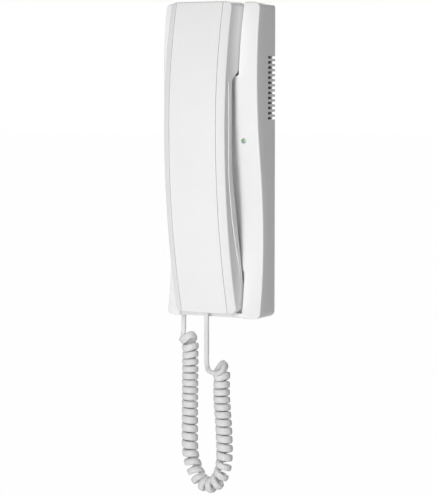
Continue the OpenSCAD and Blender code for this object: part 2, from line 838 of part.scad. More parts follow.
// Side outline of the handset, drawn in by inset all round
function handset_profile(inset) =
    let (lean_in = inset * ear_end_slope,
         grip_d = grip_back_depth + inset,
         shoulder = drawn_in(shoulder_z, slant_rate, drop_rate, inset),
         slant_in = inset * sqrt(1 + slant_rate * slant_rate),
         mouth_d = mouth_back_depth + inset,
         ear_d = ear_back_depth + inset)
    concat(
        [for (z = steps(handset_bottom_z + inset, top_z - inset, curve_steps)) [z, bow(z) - inset]],
        [[top_z - inset, ear_d],
         [ear_end_z + (grip_back_depth - ear_d) * ear_end_lean + lean_in, ear_d],
         [ear_end_z + (grip_back_depth - grip_d) * ear_end_lean + lean_in, grip_d],
         [drawn_in(slant_top_z, 0, slant_rate, inset), grip_d],
         [shoulder, shoulder_depth + (shoulder - shoulder_z) * slant_rate + slant_in],
         [drawn_in(drop_bottom_z, drop_rate, 0, inset), mouth_d],
         [handset_bottom_z + inset, mouth_d]]);

module handset_solid(inset) {
    half = half_w - inset;
    height = top_z - handset_bottom_z - 2 * inset;
    intersection() {
        side_prism(handset_profile(inset), handset_x - half, handset_x + half);
        translate([handset_x, 0, (top_z + handset_bottom_z) / 2])
            in_depth(0, reach)
                rounded_rect(2 * half, height, handset_corner_r - inset * inner_corner);
        beveled_front(1, inset);
        beveled_front(-1, inset);
        chamfered_back(1, inset);
        chamfered_back(-1, inset);
    }
}

module beveled_front(side, inset) {
    outline = concat(
        [for (z = shifted_steps(handset_bottom_z, top_z, curve_steps, 0.5))
            [z, bow(z) * cos(bevel_angle) - inset]],
        [[top_z + beyond, -far], [handset_bottom_z - beyond, -far]]);
    translate([handset_x + side * half_panel, 0, 0])
        rotate([0, 0, side * bevel_angle])
            side_prism(outline, -far, far);
}

// Back line of the handset alone, for the chamfers
function back_depth(z) =
    z > ear_end_z ? ear_back_depth :
    z > slant_top_z ? grip_back_depth :
    z > shoulder_z ? shoulder_depth + (z - shoulder_z) * slant_rate :
    z > drop_bottom_z ? mouth_back_depth + (z - drop_bottom_z) * drop_rate :
    mouth_back_depth;

module chamfered_back(side, inset) {
    angle = 45;
    outline = concat(
        [for (z = [handset_bottom_z - cut, drop_bottom_z, shoulder_z, slant_top_z,
                   ear_end_z - chamfer_run_out])
            [z + chamfer_shift, back_depth(z) * cos(angle) + inset]],
        [[ear_end_z - cut, -far], [top_z + beyond, -far], [top_z + beyond, far],
         [handset_bottom_z - beyond, far],
         [handset_bottom_z - beyond, mouth_back_depth * cos(angle) + inset]]);
    translate([handset_x + side * (half_w - grip_chamfer), 0, 0])
        rotate([0, 0, -side * angle])
            side_prism(outline, -far, far);
}

parting_line = concat(
    [[top_z + cut, parting_depth], [ear_end_z + parting_ear_run, parting_depth],
     [ear_end_z + parting_ear_foot, parting_grip_depth - parting_bend],
     [ear_end_z - parting_bend, parting_grip_depth], [slant_top_z - parting_bend, parting_grip_depth]],
    [for (p = parting_curve)
        [slant_top_z + (drop_bottom_z - slant_top_z) * p[0],
         parting_grip_depth + (parting_depth - parting_grip_depth) * p[1]]],
    [[drop_bottom_z + parting_mouth_run, parting_depth], [handset_bottom_z - cut, parting_depth]]);

// Everything in front of the parting line between the two shells
module front_half() {
    side_prism(concat(parting_line, [[handset_bottom_z - cut, reach], [top_z + cut, reach]]),
               -base_w, base_w);
}

module rear_half() {
    side_prism(concat(parting_line, [[handset_bottom_z - cut, 0], [top_z + cut, 0]]), -base_w, base_w);
}

// What lies in front of the panel's bed, from side to side of the panel less a gap
module panel_slab(x_gap) {
    half = half_panel - x_gap;
    side_prism(concat(
        [for (z = steps(handset_bottom_z - cut, top_z + cut, curve_steps)) [z, bow(z) + cut]],
        [for (z = steps(top_z + cut, handset_bottom_z - cut, curve_steps)) [z, bow(z) - panel_t]]),
        handset_x - half, handset_x + half);
}

module screw_boss(z, d0, d1) {
    depth_cylinder(handset_boss_d, handset_x, z, d0, d1);
}

function parting_at(z) = lookup(z, [for (i = [len(parting_line) - 1 : -1 : 0]) parting_line[i]]);

module handset_front() {
    color("whitesmoke")
        difference() {
            intersection() {
                union() {
                    difference() {
                        handset_solid(0);
                        handset_solid(handset_wall);
                    }
                    intersection() {
                        handset_solid(handset_wall / 2);
                        union() {
                            screw_boss(upper_screw_z, parting_at(upper_screw_z) - 2 * cut, reach);
                            screw_boss(lower_screw_z, parting_at(lower_screw_z) - 2 * cut, reach);
                        }
                    }
                }
                front_half();
            }
            panel_slab(-seam_w / 2);
            for (z = [upper_screw_z, lower_screw_z])
                depth_cylinder(handset_screw_d + 2 * screw_pilot_gap, handset_x, z, 0,
                               bow(z) - handset_wall - handset_screw_end);
            translate([0, 0, handset_bottom_z - cut])
                linear_extrude(handset_wall + 2 * cut)
                    bushing_oval(handset_exit, bushing_t, bushing_gap);
        }
}

module handset_panel() {
    color("white")
        intersection() {
            handset_solid(0);
            panel_slab(seam_w / 2);
        }
}

module ballast_rib(z) {
    depth_box(handset_x - ballast_w / 2, handset_x + ballast_w / 2,
              z - ballast_rib_t / 2, z + ballast_rib_t / 2, 0, ballast_seat_depth);
}

// Depth of the head's seat for a handset screw
function screw_seat(z) = back_depth(z) + handset_wall;

module handset_rear() {
    color("whitesmoke")
        difference() {
            intersection() {
                union() {
                    difference() {
                        handset_solid(0);
                        handset_solid(handset_wall);
                    }
                    intersection() {
                        handset_solid(handset_wall / 2);
                        union() {
                            screw_boss(upper_screw_z, 0, parting_at(upper_screw_z) + 2 * cut);
                            screw_boss(lower_screw_z, 0, parting_at(lower_screw_z) + 2 * cut);
                            depth_cylinder(boot_d, handset_x, boot_z, 0, boot_seat_depth);
                            for (side = [-1, 1])
                                ballast_rib(ballast_z + side * (ballast_l / 2 - ballast_rib_inset));
                        }
                    }
                }
                rear_half();
            }
            for (z = [upper_screw_z, lower_screw_z]) {
                depth_cylinder(handset_screw_d + 2 * handset_screw_gap, handset_x, z, 0, reach);
                depth_cylinder(handset_screw_head_d + 2 * handset_head_gap, handset_x, z, 0,
                               screw_seat(z) + handset_screw_head_h);
            }
            for (i = [0 : sound_hole_count - 1])
                depth_cylinder(sound_hole_d, handset_x + sound_hole_ring_r * cos(i * 360 / sound_hole_count),
                               capsule_z + sound_hole_ring_r * sin(i * 360 / sound_hole_count),
                               0, capsule_seat_depth + cut / 2);
            depth_cylinder(sound_hole_d, handset_x, capsule_z, 0, capsule_seat_depth + cut / 2);
            depth_cylinder(microphone_hole_d, handset_x, boot_z, 0, boot_seat_depth + cut);
        }
}

module ear_capsule_ring() {
    color("black")
        difference() {
            depth_cylinder(capsule_ring_d, handset_x, capsule_z, capsule_seat_depth,
                           capsule_seat_depth + capsule_ring_h);
            depth_cylinder(capsule_d - 2 * capsule_ring_lip, handset_x, capsule_z,
                           capsule_seat_depth - cut, far);
            depth_cylinder(capsule_d, handset_x, capsule_z, capsule_seat_depth + capsule_ring_t, far);
        }
}

module ear_capsule() {
    color("dimgray")
        union() {
            depth_cylinder(capsule_d, handset_x, capsule_z, capsule_seat_depth + capsule_ring_t,
                           capsule_seat_depth + capsule_ring_t + capsule_step_t);
            depth_cylinder(capsule_step_d, handset_x, capsule_z, capsule_seat_depth + capsule_ring_t,
                           capsule_seat_depth + capsule_ring_t + capsule_t);
        }
}

module microphone_boot() {
    color("black")
        difference() {
            depth_cylinder(boot_d, handset_x, boot_z, boot_seat_depth, boot_seat_depth + boot_t);
            depth_cylinder(microphone_d, handset_x, boot_z, boot_seat_depth + boot_t - microphone_t,
                           boot_seat_depth + boot_t + cut);
            depth_cylinder(microphone_hole_d, handset_x, boot_z, boot_seat_depth - cut,
                           boot_seat_depth + boot_t);
        }
}

module microphone() {
    color("silver")
        depth_cylinder(microphone_d, handset_x, boot_z, boot_seat_depth + boot_t - microphone_t,
                       boot_seat_depth + boot_t);
}

module ballast_weight() {
    color("slategray")
        depth_box(handset_x - ballast_w / 2, handset_x + ballast_w / 2, ballast_z - ballast_l / 2,
                  ballast_z + ballast_l / 2, ballast_seat_depth, ballast_seat_depth + ballast_t);
}

module handset_screws() {
    color("silver")
        for (z = [upper_screw_z, lower_screw_z]) {
            depth_cylinder(handset_screw_head_d, handset_x, z, screw_seat(z),
                           screw_seat(z) + handset_screw_head_h);
            depth_cylinder(handset_screw_d, handset_x, z, screw_seat(z) + handset_screw_head_h / 2,
                           parting_at(z) + handset_screw_bite);
        }
}

// ---------- cord and wires ----------

function unit(v) = v / norm(v);

function to_space(p) = [p[0], -p[1], p[2]];

// Catmull-Rom curve through points of any size, with its ends extended straight
function spline(points, count) =
    let (last = len(points) - 1,
         p = concat([2 * points[0] - points[1]], points, [2 * points[last] - points[last - 1]]))
    concat([for (i = [1 : last], j = [0 : count - 1])
        let (t = j / count)
        0.5 * (2 * p[i] + (p[i + 1] - p[i - 1]) * t
               + (2 * p[i - 1] - 5 * p[i] + 4 * p[i + 1] - p[i + 2]) * t * t
               + (3 * p[i] - p[i - 1] - 3 * p[i + 1] + p[i + 2]) * t * t * t)], [points[last]]);

function running_sum(values, i = 0, total = 0, out = []) =
    i == len(values) ? concat(out, [total]) :
    running_sum(values, i + 1, total + values[i], concat(out, [total]));

// The curl's axis, and for each point the number of curls before it, before it is fitted to curl_count
axis_line = spline([for (p = axis_points) [p[0], -p[1], p[2], p[3], p[4]]], axis_steps);
axis_turns = running_sum([for (i = [0 : len(axis_line) - 2])
    let (a = axis_line[i], b = axis_line[i + 1])
    norm([b[0] - a[0], b[1] - a[1], b[2] - a[2]]) / ((a[3] + b[3]) / 2)]);
turns_total = axis_turns[len(axis_turns) - 1];

// The axis as one table for each of its values, against the number of curls
tables = [for (k = [0 : 4]) [for (i = [0 : len(axis_line) - 1]) [axis_turns[i], axis_line[i][k]]]];

function axis_point(turn) = [for (k = [0 : 2]) lookup(turn, tables[k])];

function axis_lean(turn) = lookup(turn, tables[4]);

// One station of the curl: its point, the direction of its thickness and the direction of its width
function curl_station(i) =
    let (turn = i / (rings_per_curl * curl_count) * turns_total,
         near = 0.25,
         along = unit(axis_point(min(turn + near, turns_total)) - axis_point(max(turn - near, 0))),
         first = unit(cross(cross(along, flat_along), along)),
         second = cross(along, first),
         angle = curl_start_angle + 360 * i / rings_per_curl,
         out = cos(angle) * second + sin(angle) * first,
         rise = axis_lean(turn) * (out * unit(lean_side)))
    [axis_point(turn) + curl_r * out + [0, 0, rise], out];

curl_stations = [for (i = [0 : rings_per_curl * curl_count]) curl_station(i)];

function straight_stations(points) = [for (p = points) [to_space(p), flat_across]];

// Turning in from the straight cord to the first curl, and out again; the cord twists on the way
function turn_stations(points, from, to) =
    [for (i = [0 : len(points) - 1])
        let (t = i / len(points))
        [to_space(points[i]), unit(from * (1 - t) + to * t)]];

curl_route = concat(
    turn_stations(base_turn_points, flat_across, curl_stations[0][1]),
    curl_stations,
    turn_stations(handset_turn_points, curl_stations[len(curl_stations) - 1][1], flat_across));

// Directions along a route: square to the end faces at both ends, and the mean of both sides between
function route_tangent(route, i) =
    i == 0 ? unit(route[1][0] - route[0][0]) :
    i == len(route) - 1 ? unit(route[i][0] - route[i - 1][0]) :
    unit(unit(route[i + 1][0] - route[i][0]) + unit(route[i][0] - route[i - 1][0]));

// The ring of points at one station of a flat cord
function cord_ring(route, i, sides, width, thickness) =
    let (tangent = i == 0 || i == len(route) - 1 ? end_direction(route, i) : route_tangent(route, i),
         across = unit(route[i][1] - (route[i][1] * tangent) * tangent),
         wide = cross(tangent, across))
    [for (k = [0 : sides - 1])
        let (a = 360 * k / sides)
        route[i][0] + across * cos(a) * thickness / 2 + wide * sin(a) * width / 2];

// The straight cord hangs plumb at both ends of every stretch
function end_direction(route, i) =
    let (d = route_tangent(route, i))
    abs(d[2]) > 0.9 ? [0, 0, sign(d[2])] : d;

module cord_tube(route, sides, width, thickness) {
    rings = len(route);
    points = [for (i = [0 : rings - 1]) each cord_ring(route, i, sides, width, thickness)];
    walls = [for (i = [0 : rings - 2], k = [0 : sides - 1], half = [0, 1])
        let (a = i * sides + k, b = i * sides + (k + 1) % sides)
        half == 0 ? [a, b, b + sides] : [a, b + sides, a + sides]];
    first_cap = [for (k = [1 : sides - 2]) [0, k + 1, k]];
    last = (rings - 1) * sides;
    last_cap = [for (k = [1 : sides - 2]) [last, last + k, last + k + 1]];
    polyhedron(points, concat(walls, first_cap, last_cap));
}

module cord_base_lead() {
    color("lightgray")
        cord_tube(straight_stations(base_lead_points), lead_sides, cord_w, cord_t);
}

module cord_curl() {
    color("lightgray")
        cord_tube(curl_route, curl_sides, cord_w, cord_t);
}

module cord_handset_lead() {
    color("lightgray")
        cord_tube(straight_stations(handset_lead_points), lead_sides, cord_w, cord_t);
}

module hook_spring() {
    low = plate_t + spring_wire_d / 2;
    high = plunger_flange_depth - spring_wire_d / 2;
    count = spring_turns * rings_per_turn;
    color("silver")
        cord_tube([for (i = [0 : count])
            let (a = 360 * i / rings_per_turn, out = [cos(a), 0, sin(a)])
            [[plunger_x, -(low + (high - low) * i / count), plunger_z] + spring_coil_r * out, out]],
            curl_sides, spring_wire_d, spring_wire_d);
}

// A wire from a cord's exit, first straight up from its bushing, then along its own route
module wire(exit, start_z, route, route_z) {
    color("firebrick")
        cord_tube(straight_stations(concat(
            [concat(exit, start_z), concat(exit, start_z + wire_run)],
            [for (p = route) [exit[0] + p[0], p[1], route_z + p[2]]])), curl_sides, wire_d, wire_d);
}

module base_wires() {
    wire(base_exit, bottom_z + cover_wall + bushing_flange_h, base_wire_route, board_bottom_z);
}

module handset_wires() {
    wire(handset_exit, handset_bottom_z + handset_wall + bushing_flange_h, handset_wire_route,
         handset_bottom_z);
}

// Least gap of the curl to itself, from its surface points one curl apart
curl_rings = [for (i = [0 : len(curl_route) - 1]) cord_ring(curl_route, i, curl_sides, cord_w, cord_t)];
gaps = [for (i = [0 : len(curl_rings) - rings_per_curl - 1])
    min([for (near = [rings_per_curl - 2 : rings_per_curl + 2])
        if (i + near < len(curl_rings))
            each [for (a = curl_rings[i], b = curl_rings[i + near]) norm(a - b)]])];
echo(least_gap_of_the_curl = min(gaps));
curl_length = [for (i = [0 : len(curl_route) - 2]) norm(curl_route[i + 1][0] - curl_route[i][0])];
echo(length_of_the_curl = curl_length * [for (v = curl_length) 1]);

front_cover();
rear_plate();
case_screw();
circuit_board();
board_screws();
terminal_block();
terminal_screws();
ringer();
hook_switch();
hook_spring();
status_led();
light_pipe();
key_switch();
capacitors();
board_chip();
cord_base_bushing();
base_wires();
hook_plunger();
release_key();
handset_front();
handset_panel();
handset_rear();
ear_capsule();
ear_capsule_ring();
microphone();
microphone_boot();
ballast_weight();
handset_screws();
handset_wires();
cord_handset_bushing();
cord_base_lead();
cord_curl();
cord_handset_lead();
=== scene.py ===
"""Slimline wall handset station: smooth moulded shells, a curly cord and their finishes."""

import json
import math
from bisect import bisect_left
from collections import namedtuple

import bmesh
import bpy
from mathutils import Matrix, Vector


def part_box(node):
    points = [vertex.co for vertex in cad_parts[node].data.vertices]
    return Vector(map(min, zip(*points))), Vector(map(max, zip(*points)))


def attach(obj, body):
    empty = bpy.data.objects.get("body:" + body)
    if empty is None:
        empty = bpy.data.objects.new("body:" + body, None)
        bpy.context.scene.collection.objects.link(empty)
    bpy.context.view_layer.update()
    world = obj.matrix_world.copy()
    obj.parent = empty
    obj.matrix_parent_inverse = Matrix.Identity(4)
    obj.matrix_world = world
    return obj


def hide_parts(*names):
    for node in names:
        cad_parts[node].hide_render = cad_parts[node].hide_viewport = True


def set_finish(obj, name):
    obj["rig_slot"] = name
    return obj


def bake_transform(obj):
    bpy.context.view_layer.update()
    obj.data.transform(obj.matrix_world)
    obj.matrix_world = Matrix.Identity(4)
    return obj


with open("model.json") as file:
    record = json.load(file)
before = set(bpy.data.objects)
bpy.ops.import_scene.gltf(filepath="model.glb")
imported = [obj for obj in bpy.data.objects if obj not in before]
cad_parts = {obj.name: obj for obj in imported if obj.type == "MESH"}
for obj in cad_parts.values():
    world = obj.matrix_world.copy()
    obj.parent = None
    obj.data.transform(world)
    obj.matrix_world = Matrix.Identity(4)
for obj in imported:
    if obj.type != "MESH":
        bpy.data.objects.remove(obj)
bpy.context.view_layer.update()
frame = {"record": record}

# Lengths below are millimetres; MM turns them into the frame's metres.
# x runs to the right, z up, and a depth is measured out from the wall, along -y.
MM = 0.001

# ---------- sizes of the shells ----------

# The base: its outline, the crest and the trough of its wave front, and its walls.
cover_low, cover_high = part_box("front_cover")
TOP = cover_high.z / MM
BOTTOM = cover_low.z / MM
HALF_BASE = cover_high.x / MM
CREST_DEPTH = -cover_low.y / MM
CREST_Z = TOP - 48
TROUGH_DEPTH = 18
TROUGH_Z = BOTTOM + 50
BROW_R = 240
FOOT_R = 224
BASE_CORNER_R = 4
COVER_WALL = 2
POCKET_WALL = 1.6

# The handset: its half widths, the bow of its front, and the run of its back from the ear end down.
HANDSET_X = -2
HALF_HANDSET = 22.3
HALF_PANEL = 17.1
BEVEL_DEPTH = 2.9
BOW_DEPTH = 50.1
BOW_Z = TOP - 83
BOW_UPPER_R = 300
BOW_LOWER_R = 430
HANDSET_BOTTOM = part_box("handset_front")[0].z / MM
HANDSET_CORNER_R = 4
HANDSET_WALL = 2
EAR_BACK = 12.3
GRIP_BACK = 34.5
MOUTH_BACK = 13.3
EAR_END_Z = TOP - 50.5
EAR_END_LEAN = 0.53
SLANT_TOP_Z = TOP - 110
SHOULDER_BACK = 17.4
SHOULDER_Z = BOTTOM + 25
DROP_BOTTOM_Z = BOTTOM + 19

# The floors of the base's recesses, and the lip below the lower one.
EAR_FLOOR = 12
MOUTH_FLOOR = 13
LIP_DEPTH = 20
LIP_Z = BOTTOM + 3.5


# ---------- lines and curves ----------

THIRDS = (0.33, 0.67)


def sag(radius, run):
    """How far an arc drops at a distance from its crown."""
    return radius - math.sqrt(radius * radius - run * run)


WAVE_MID_Z = (CREST_Z + TROUGH_Z) / 2
HALF_SPAN = (CREST_Z - TROUGH_Z) / 2
HALF_DROP = (CREST_DEPTH - TROUGH_DEPTH) / 2
WAVE_R = (HALF_SPAN**2 + HALF_DROP**2) / (2 * HALF_DROP)


def face_depth(z):
    """Depth of the base's wave front."""
    if z > CREST_Z:
        return CREST_DEPTH - sag(BROW_R, z - CREST_Z)
    if z > WAVE_MID_Z:
        return CREST_DEPTH - sag(WAVE_R, CREST_Z - z)
    if z > TROUGH_Z:
        return TROUGH_DEPTH + sag(WAVE_R, z - TROUGH_Z)
    return TROUGH_DEPTH + sag(FOOT_R, TROUGH_Z - z)


def bow(z):
    """Depth of the handset's front."""
    radius = BOW_UPPER_R if z > BOW_Z else BOW_LOWER_R
    return BOW_DEPTH - sag(radius, z - BOW_Z)


def soft_max(a, b, softness):
    """The larger of two, with a rounded change-over."""
    return (a + b + math.hypot(a - b, softness)) / 2


def soft_min(a, b, softness):
    """The smaller of two, with a rounded change-over."""
    return (a + b - math.hypot(a - b, softness)) / 2


def mix(a, b, t):
    """The value at a share of the way from one to the other."""
    return a + (b - a) * t


def ease(low, high, value):
    """0 below low, 1 above high, and a smooth step between."""
    t = min(1, max(0, (value - low) / (high - low)))
    return t * t * (3 - 2 * t)


def ease_down(high, low, value):
    """0 above high, 1 below low, and a smooth step between."""
    return ease(-high, -low, -value)


def rounding(radius, distance):
    """How far a rounded edge lies inside its corner, at a distance from the end face."""
    run = max(0, radius - distance)
    return radius - math.sqrt(radius**2 - run**2)


def arc(x, y, radius, start, end, count):
    """Points along an arc, with angles in degrees."""
    angles = [math.radians(mix(start, end, i / count)) for i in range(count + 1)]
    return [(x + radius * math.cos(a), y + radius * math.sin(a)) for a in angles]


def stations(*runs):
    """Heights along z: each run is where it starts and how many steps it takes to the next."""
    heights = []
    for (low, count), (high, _) in zip(runs, runs[1:]):
        heights += [mix(low, high, i / count) for i in range(count)]
    return heights + [runs[-1][0]]


def end_stations(end, inward, reach, count):
    """Heights that lie close together over a rounded end, from the end inwards."""
    return [end + inward * reach * (1 - math.cos(math.pi / 2 * i / count)) for i in range(count)]


def end_to_end(low, high, reach, count, *runs):
    """Heights from one rounded end to the other, with runs of even steps between them."""
    return (end_stations(low, 1, reach, count) + stations(*runs, (high - reach, 1))[:-1]
            + end_stations(high, -1, reach, count)[::-1])


# ---------- mesh building ----------

ROD_SIDES = 48
TURN_STEPS = 64
OVAL_STEPS = 16
SMOOTH_ANGLE = 32


def new_object(name, data):
    """An object in the scene for a mesh, a lamp or a camera."""
    obj = bpy.data.objects.new(name, data)
    bpy.context.scene.collection.objects.link(obj)
    return obj


def to_object(bm, name):
    """Turns a millimetre bmesh into an object in the frame's metres, with its origin at zero."""
    bmesh.ops.recalc_face_normals(bm, faces=bm.faces)
    bmesh.ops.scale(bm, vec=(MM, MM, MM), verts=bm.verts)
    mesh = bpy.data.meshes.new(name)
    bm.to_mesh(mesh)
    bm.free()
    return new_object(name, mesh)


def add_loft(bm, sections):
    """A closed skin over sections of as many points each, grown from the first ring by extruding it."""
    ring = [bm.verts.new(p) for p in sections[0]]
    bm.faces.new(ring)
    edges = [bm.edges.get(pair) or bm.edges.new(pair) for pair in zip(ring, ring[1:] + ring[:1])]
    for section in sections[1:]:
        grown = bmesh.ops.extrude_edge_only(bm, edges=edges)["geom"]
        fresh = {g for g in grown if isinstance(g, bmesh.types.BMVert)}
        ring = [next(e.other_vert(v) for e in v.link_edges if e.other_vert(v) in fresh) for v in ring]
        for vert, place in zip(ring, section):
            vert.co = place
        edges = [bm.edges.get(pair) for pair in zip(ring, ring[1:] + ring[:1])]
    bm.faces.new(ring)


def loft(sections, name):
    """A closed skin over sections, as an object."""
    bm = bmesh.new()
    add_loft(bm, sections)
    return to_object(bm, name)


def add_prism(bm, outline, travel):
    """An outline of points, extruded along a vector."""
    face = bm.faces.new([bm.verts.new(p) for p in outline])
    grown = bmesh.ops.extrude_face_region(bm, geom=[face], use_keep_orig=True)["geom"]
    bmesh.ops.translate(bm, vec=travel, verts=[g for g in grown if isinstance(g, bmesh.types.BMVert)])


def add_box(bm, low, high):
    """A box between two corners."""
    made = bmesh.ops.create_cube(bm, size=1)["verts"]
    bmesh.ops.scale(bm, vec=[b - a for a, b in zip(low, high)], verts=made)
    bmesh.ops.translate(bm, vec=[(a + b) / 2 for a, b in zip(low, high)], verts=made)


def add_rod(bm, start, end, radius):
    """A cylinder between two points."""
    start, end = Vector(start), Vector(end)
    axis = end - start
    made = bmesh.ops.create_cone(bm, cap_ends=True, segments=ROD_SIDES, radius1=radius, radius2=radius,
                                 depth=axis.length)["verts"]
    turn = Vector((0, 0, 1)).rotation_difference(axis).to_matrix()
    bmesh.ops.rotate(bm, cent=(0, 0, 0), matrix=turn, verts=made)
    bmesh.ops.translate(bm, vec=(start + end) / 2, verts=made)


def add_oval(bm, x, depth, width, length, low, high):
    """An upright oval prism; its length runs along the depth."""
    straight = (length - width) / 2
    outline = arc(x, -depth + straight, width / 2, 0, 180, OVAL_STEPS)
    outline += arc(x, -depth - straight, width / 2, 180, 360, OVAL_STEPS)
    add_prism(bm, [(px, py, low) for px, py in outline], (0, 0, high - low))


def depth_hole(x, z, diameter, low, high):
    """A round cutter square to the wall, between two depths."""
    def shape(bm):
        add_rod(bm, (x, -low, z), (x, -high, z), diameter / 2)
    return shape


def turned(profile, x, z, name):
    """A piece turned about an axis square to the wall, from radius and depth points that end on it."""
    bm = bmesh.new()
    verts = [bm.verts.new((x + r, -d, z)) for r, d in profile]
    edges = [bm.edges.new(pair) for pair in zip(verts, verts[1:])]
    bmesh.ops.spin(bm, geom=verts + edges, cent=(x, 0, z), axis=(0, 1, 0), angle=2 * math.pi,
                   steps=TURN_STEPS, use_merge=True)
    bmesh.ops.remove_doubles(bm, verts=bm.verts, dist=0.001)
    return to_object(bm, name)


def apply_modifiers(obj):
    """Replaces the object's mesh by what its modifiers make of it."""
    evaluated = obj.evaluated_get(bpy.context.evaluated_depsgraph_get())
    mesh = bpy.data.meshes.new_from_object(evaluated)
    obj.modifiers.clear()
    obj.data = mesh


def combine(obj, other, operation, keep_other=False):
    """Boolean of one closed mesh with another."""
    modifier = obj.modifiers.new(operation, "BOOLEAN")
    modifier.operation = operation
    modifier.object = other
    modifier.solver = "MANIFOLD"
    apply_modifiers(obj)
    if not keep_other:
        bpy.data.objects.remove(other)
    return obj


def cut(obj, *shapes):
    """Takes shapes out of the object; each is a function that adds a closed form to a mesh."""
    bm = bmesh.new()
    for shape in shapes:
        shape(bm)
    return combine(obj, to_object(bm, "cutter"), "DIFFERENCE")


def duplicate(obj, name):
    """A copy of the object with a mesh of its own."""
    return new_object(name, obj.data.copy())


def node_place(name):
    """The x and z of the middle of a node, in millimetres."""
    low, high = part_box(name)
    return (low.x + high.x) / 2 / MM, (low.z + high.z) / 2 / MM


def smooth(obj, degrees=SMOOTH_ANGLE):
    """Smooth shading that stops at edges sharper than the angle."""
    obj.data.shade_smooth()
    obj.data.set_sharp_from_angle(angle=math.radians(degrees))
    return obj


# ---------- base ----------

EDGE_R = 0.9
END_R = 0.9
BAND = 6.5
BAND_DRAFT = math.tan(math.radians(3))
SIDE_DRAFT = 0.12
WALL_TURN = 88.5
WALL_EDGE_R = 0.35
WALL_FLOOR_R = 1.2
SCOOP_TURN = 46
SCOOP_EDGE_R = 10.5
SCOOP_HEAD_EDGE_R = 6.5
SCOOP_FOOT_EDGE_R = 7.5
SCOOP_FLOOR_R = 3
SCOOP_EDGE = 25.2
SCOOP_END_EDGE = 24.1
SCOOP_HEAD_Z = TOP - 52
SCOOP_FOOT_Z = BOTTOM + 35
SCOOP_BROAD_HIGH_Z = 15
SCOOP_BROAD_LOW_Z = -35
SCOOP_HEAD_SLOPE = 2.17
RIDGE_RISE = 3
EAR_WALL_RUN = (SCOOP_HEAD_Z + 1.5, SCOOP_HEAD_Z + 5)
MOUTH_WALL_RUN = (-68, -76)
EAR_GAP_LOW = 0.9
EAR_GAP_TOP = 2.9
MOUTH_GAP = 1
LEDGE_GAP = 1.4
LEDGE_STEEP = 8
LIP_RUN = 0.5
FLOOR_EASE = 0.4
RIM_EASE = 0.8
LEAST_WALL = 0.2
EDGE_STEPS = 5
POCKET_EDGE_STEPS = 8
POCKET_FLOOR_STEPS = 5
POCKET_FLOOR_SHARES = (0.7, 0.35)
REAR_CHAMFER = 0.3
BAND_STEP = 0.1
HOLLOW_BACK = -1
HOLLOW_CORNER = 0.9
LEAST_DROP = 0.02
BASE_REACH = 1.2
END_RUN = 4

# Where each run of the base's sections starts, and how many it holds.
BASE_RUNS = [(LIP_Z - 0.6, 6), (LIP_Z + 0.2, 12), (-75, 14), (-58, 40), (44.5, 26), (53.5, 12), (55.5, 28),
             (58, 20), (66, 20)]

# Half of the pocket's section: the turn of its wall, the radii at the wall's edge and foot,
# how far from the middle the edge starts, and the floor's depth.
Pocket = namedtuple("Pocket", "turn edge_r floor_r edge floor")


def ear_gap(z):
    """Room beside the ear end; it widens towards the top."""
    return mix(EAR_GAP_LOW, EAR_GAP_TOP, (z - EAR_END_Z) / (TOP - EAR_END_Z))


def scoop_edge(z):
    """Radius and place of the scoop's soft edge, which tightens towards both of its ends."""
    up = ease(SCOOP_BROAD_HIGH_Z, SCOOP_HEAD_Z, z)
    down = ease_down(SCOOP_BROAD_LOW_Z, SCOOP_FOOT_Z, z)
    radius = mix(mix(SCOOP_EDGE_R, SCOOP_HEAD_EDGE_R, up), SCOOP_FOOT_EDGE_R, down)
    return radius, mix(SCOOP_EDGE, SCOOP_END_EDGE, max(up, down))


def raised_floor(z):
    """Depth of what rises from the pocket's floor: the ridge at the scoop's head and the bottom lip."""
    lip = mix(MOUTH_FLOOR, LIP_DEPTH, ease_down(LIP_Z, LIP_Z - LIP_RUN, z))
    if z <= 0:
        return lip
    brow = EAR_END_Z - LEDGE_GAP + (GRIP_BACK - CREST_DEPTH) * EAR_END_LEAN
    ledge = CREST_DEPTH - (z - brow) * LEDGE_STEEP
    head = CREST_DEPTH + (z - SCOOP_HEAD_Z - RIDGE_RISE) * SCOOP_HEAD_SLOPE
    return max(min(ledge, head), lip)


def pocket_at(z, grow):
    """The pocket's section at a height; for the hollow behind its wall it grows by the wall."""
    scoop_r, scoop_start = scoop_edge(z)
    scoop = Pocket(SCOOP_TURN, scoop_r, SCOOP_FLOOR_R, scoop_start, MOUTH_FLOOR)
    ear = Pocket(WALL_TURN, WALL_EDGE_R, WALL_FLOOR_R, HALF_HANDSET + ear_gap(z) + WALL_EDGE_R, EAR_FLOOR)
    mouth = Pocket(WALL_TURN, WALL_EDGE_R, WALL_FLOOR_R, HALF_HANDSET + MOUTH_GAP + WALL_EDGE_R, MOUTH_FLOOR)
    to_ear = ease(*EAR_WALL_RUN, z)
    to_mouth = ease_down(*MOUTH_WALL_RUN, z)
    shape = Pocket(*[mix(mix(s, e, to_ear), m, to_mouth) for s, e, m in zip(scoop, ear, mouth)])
    floor = soft_min(face_depth(z), soft_max(shape.floor, raised_floor(z), FLOOR_EASE), RIM_EASE)
    return shape._replace(edge=shape.edge + grow, floor=floor - grow)


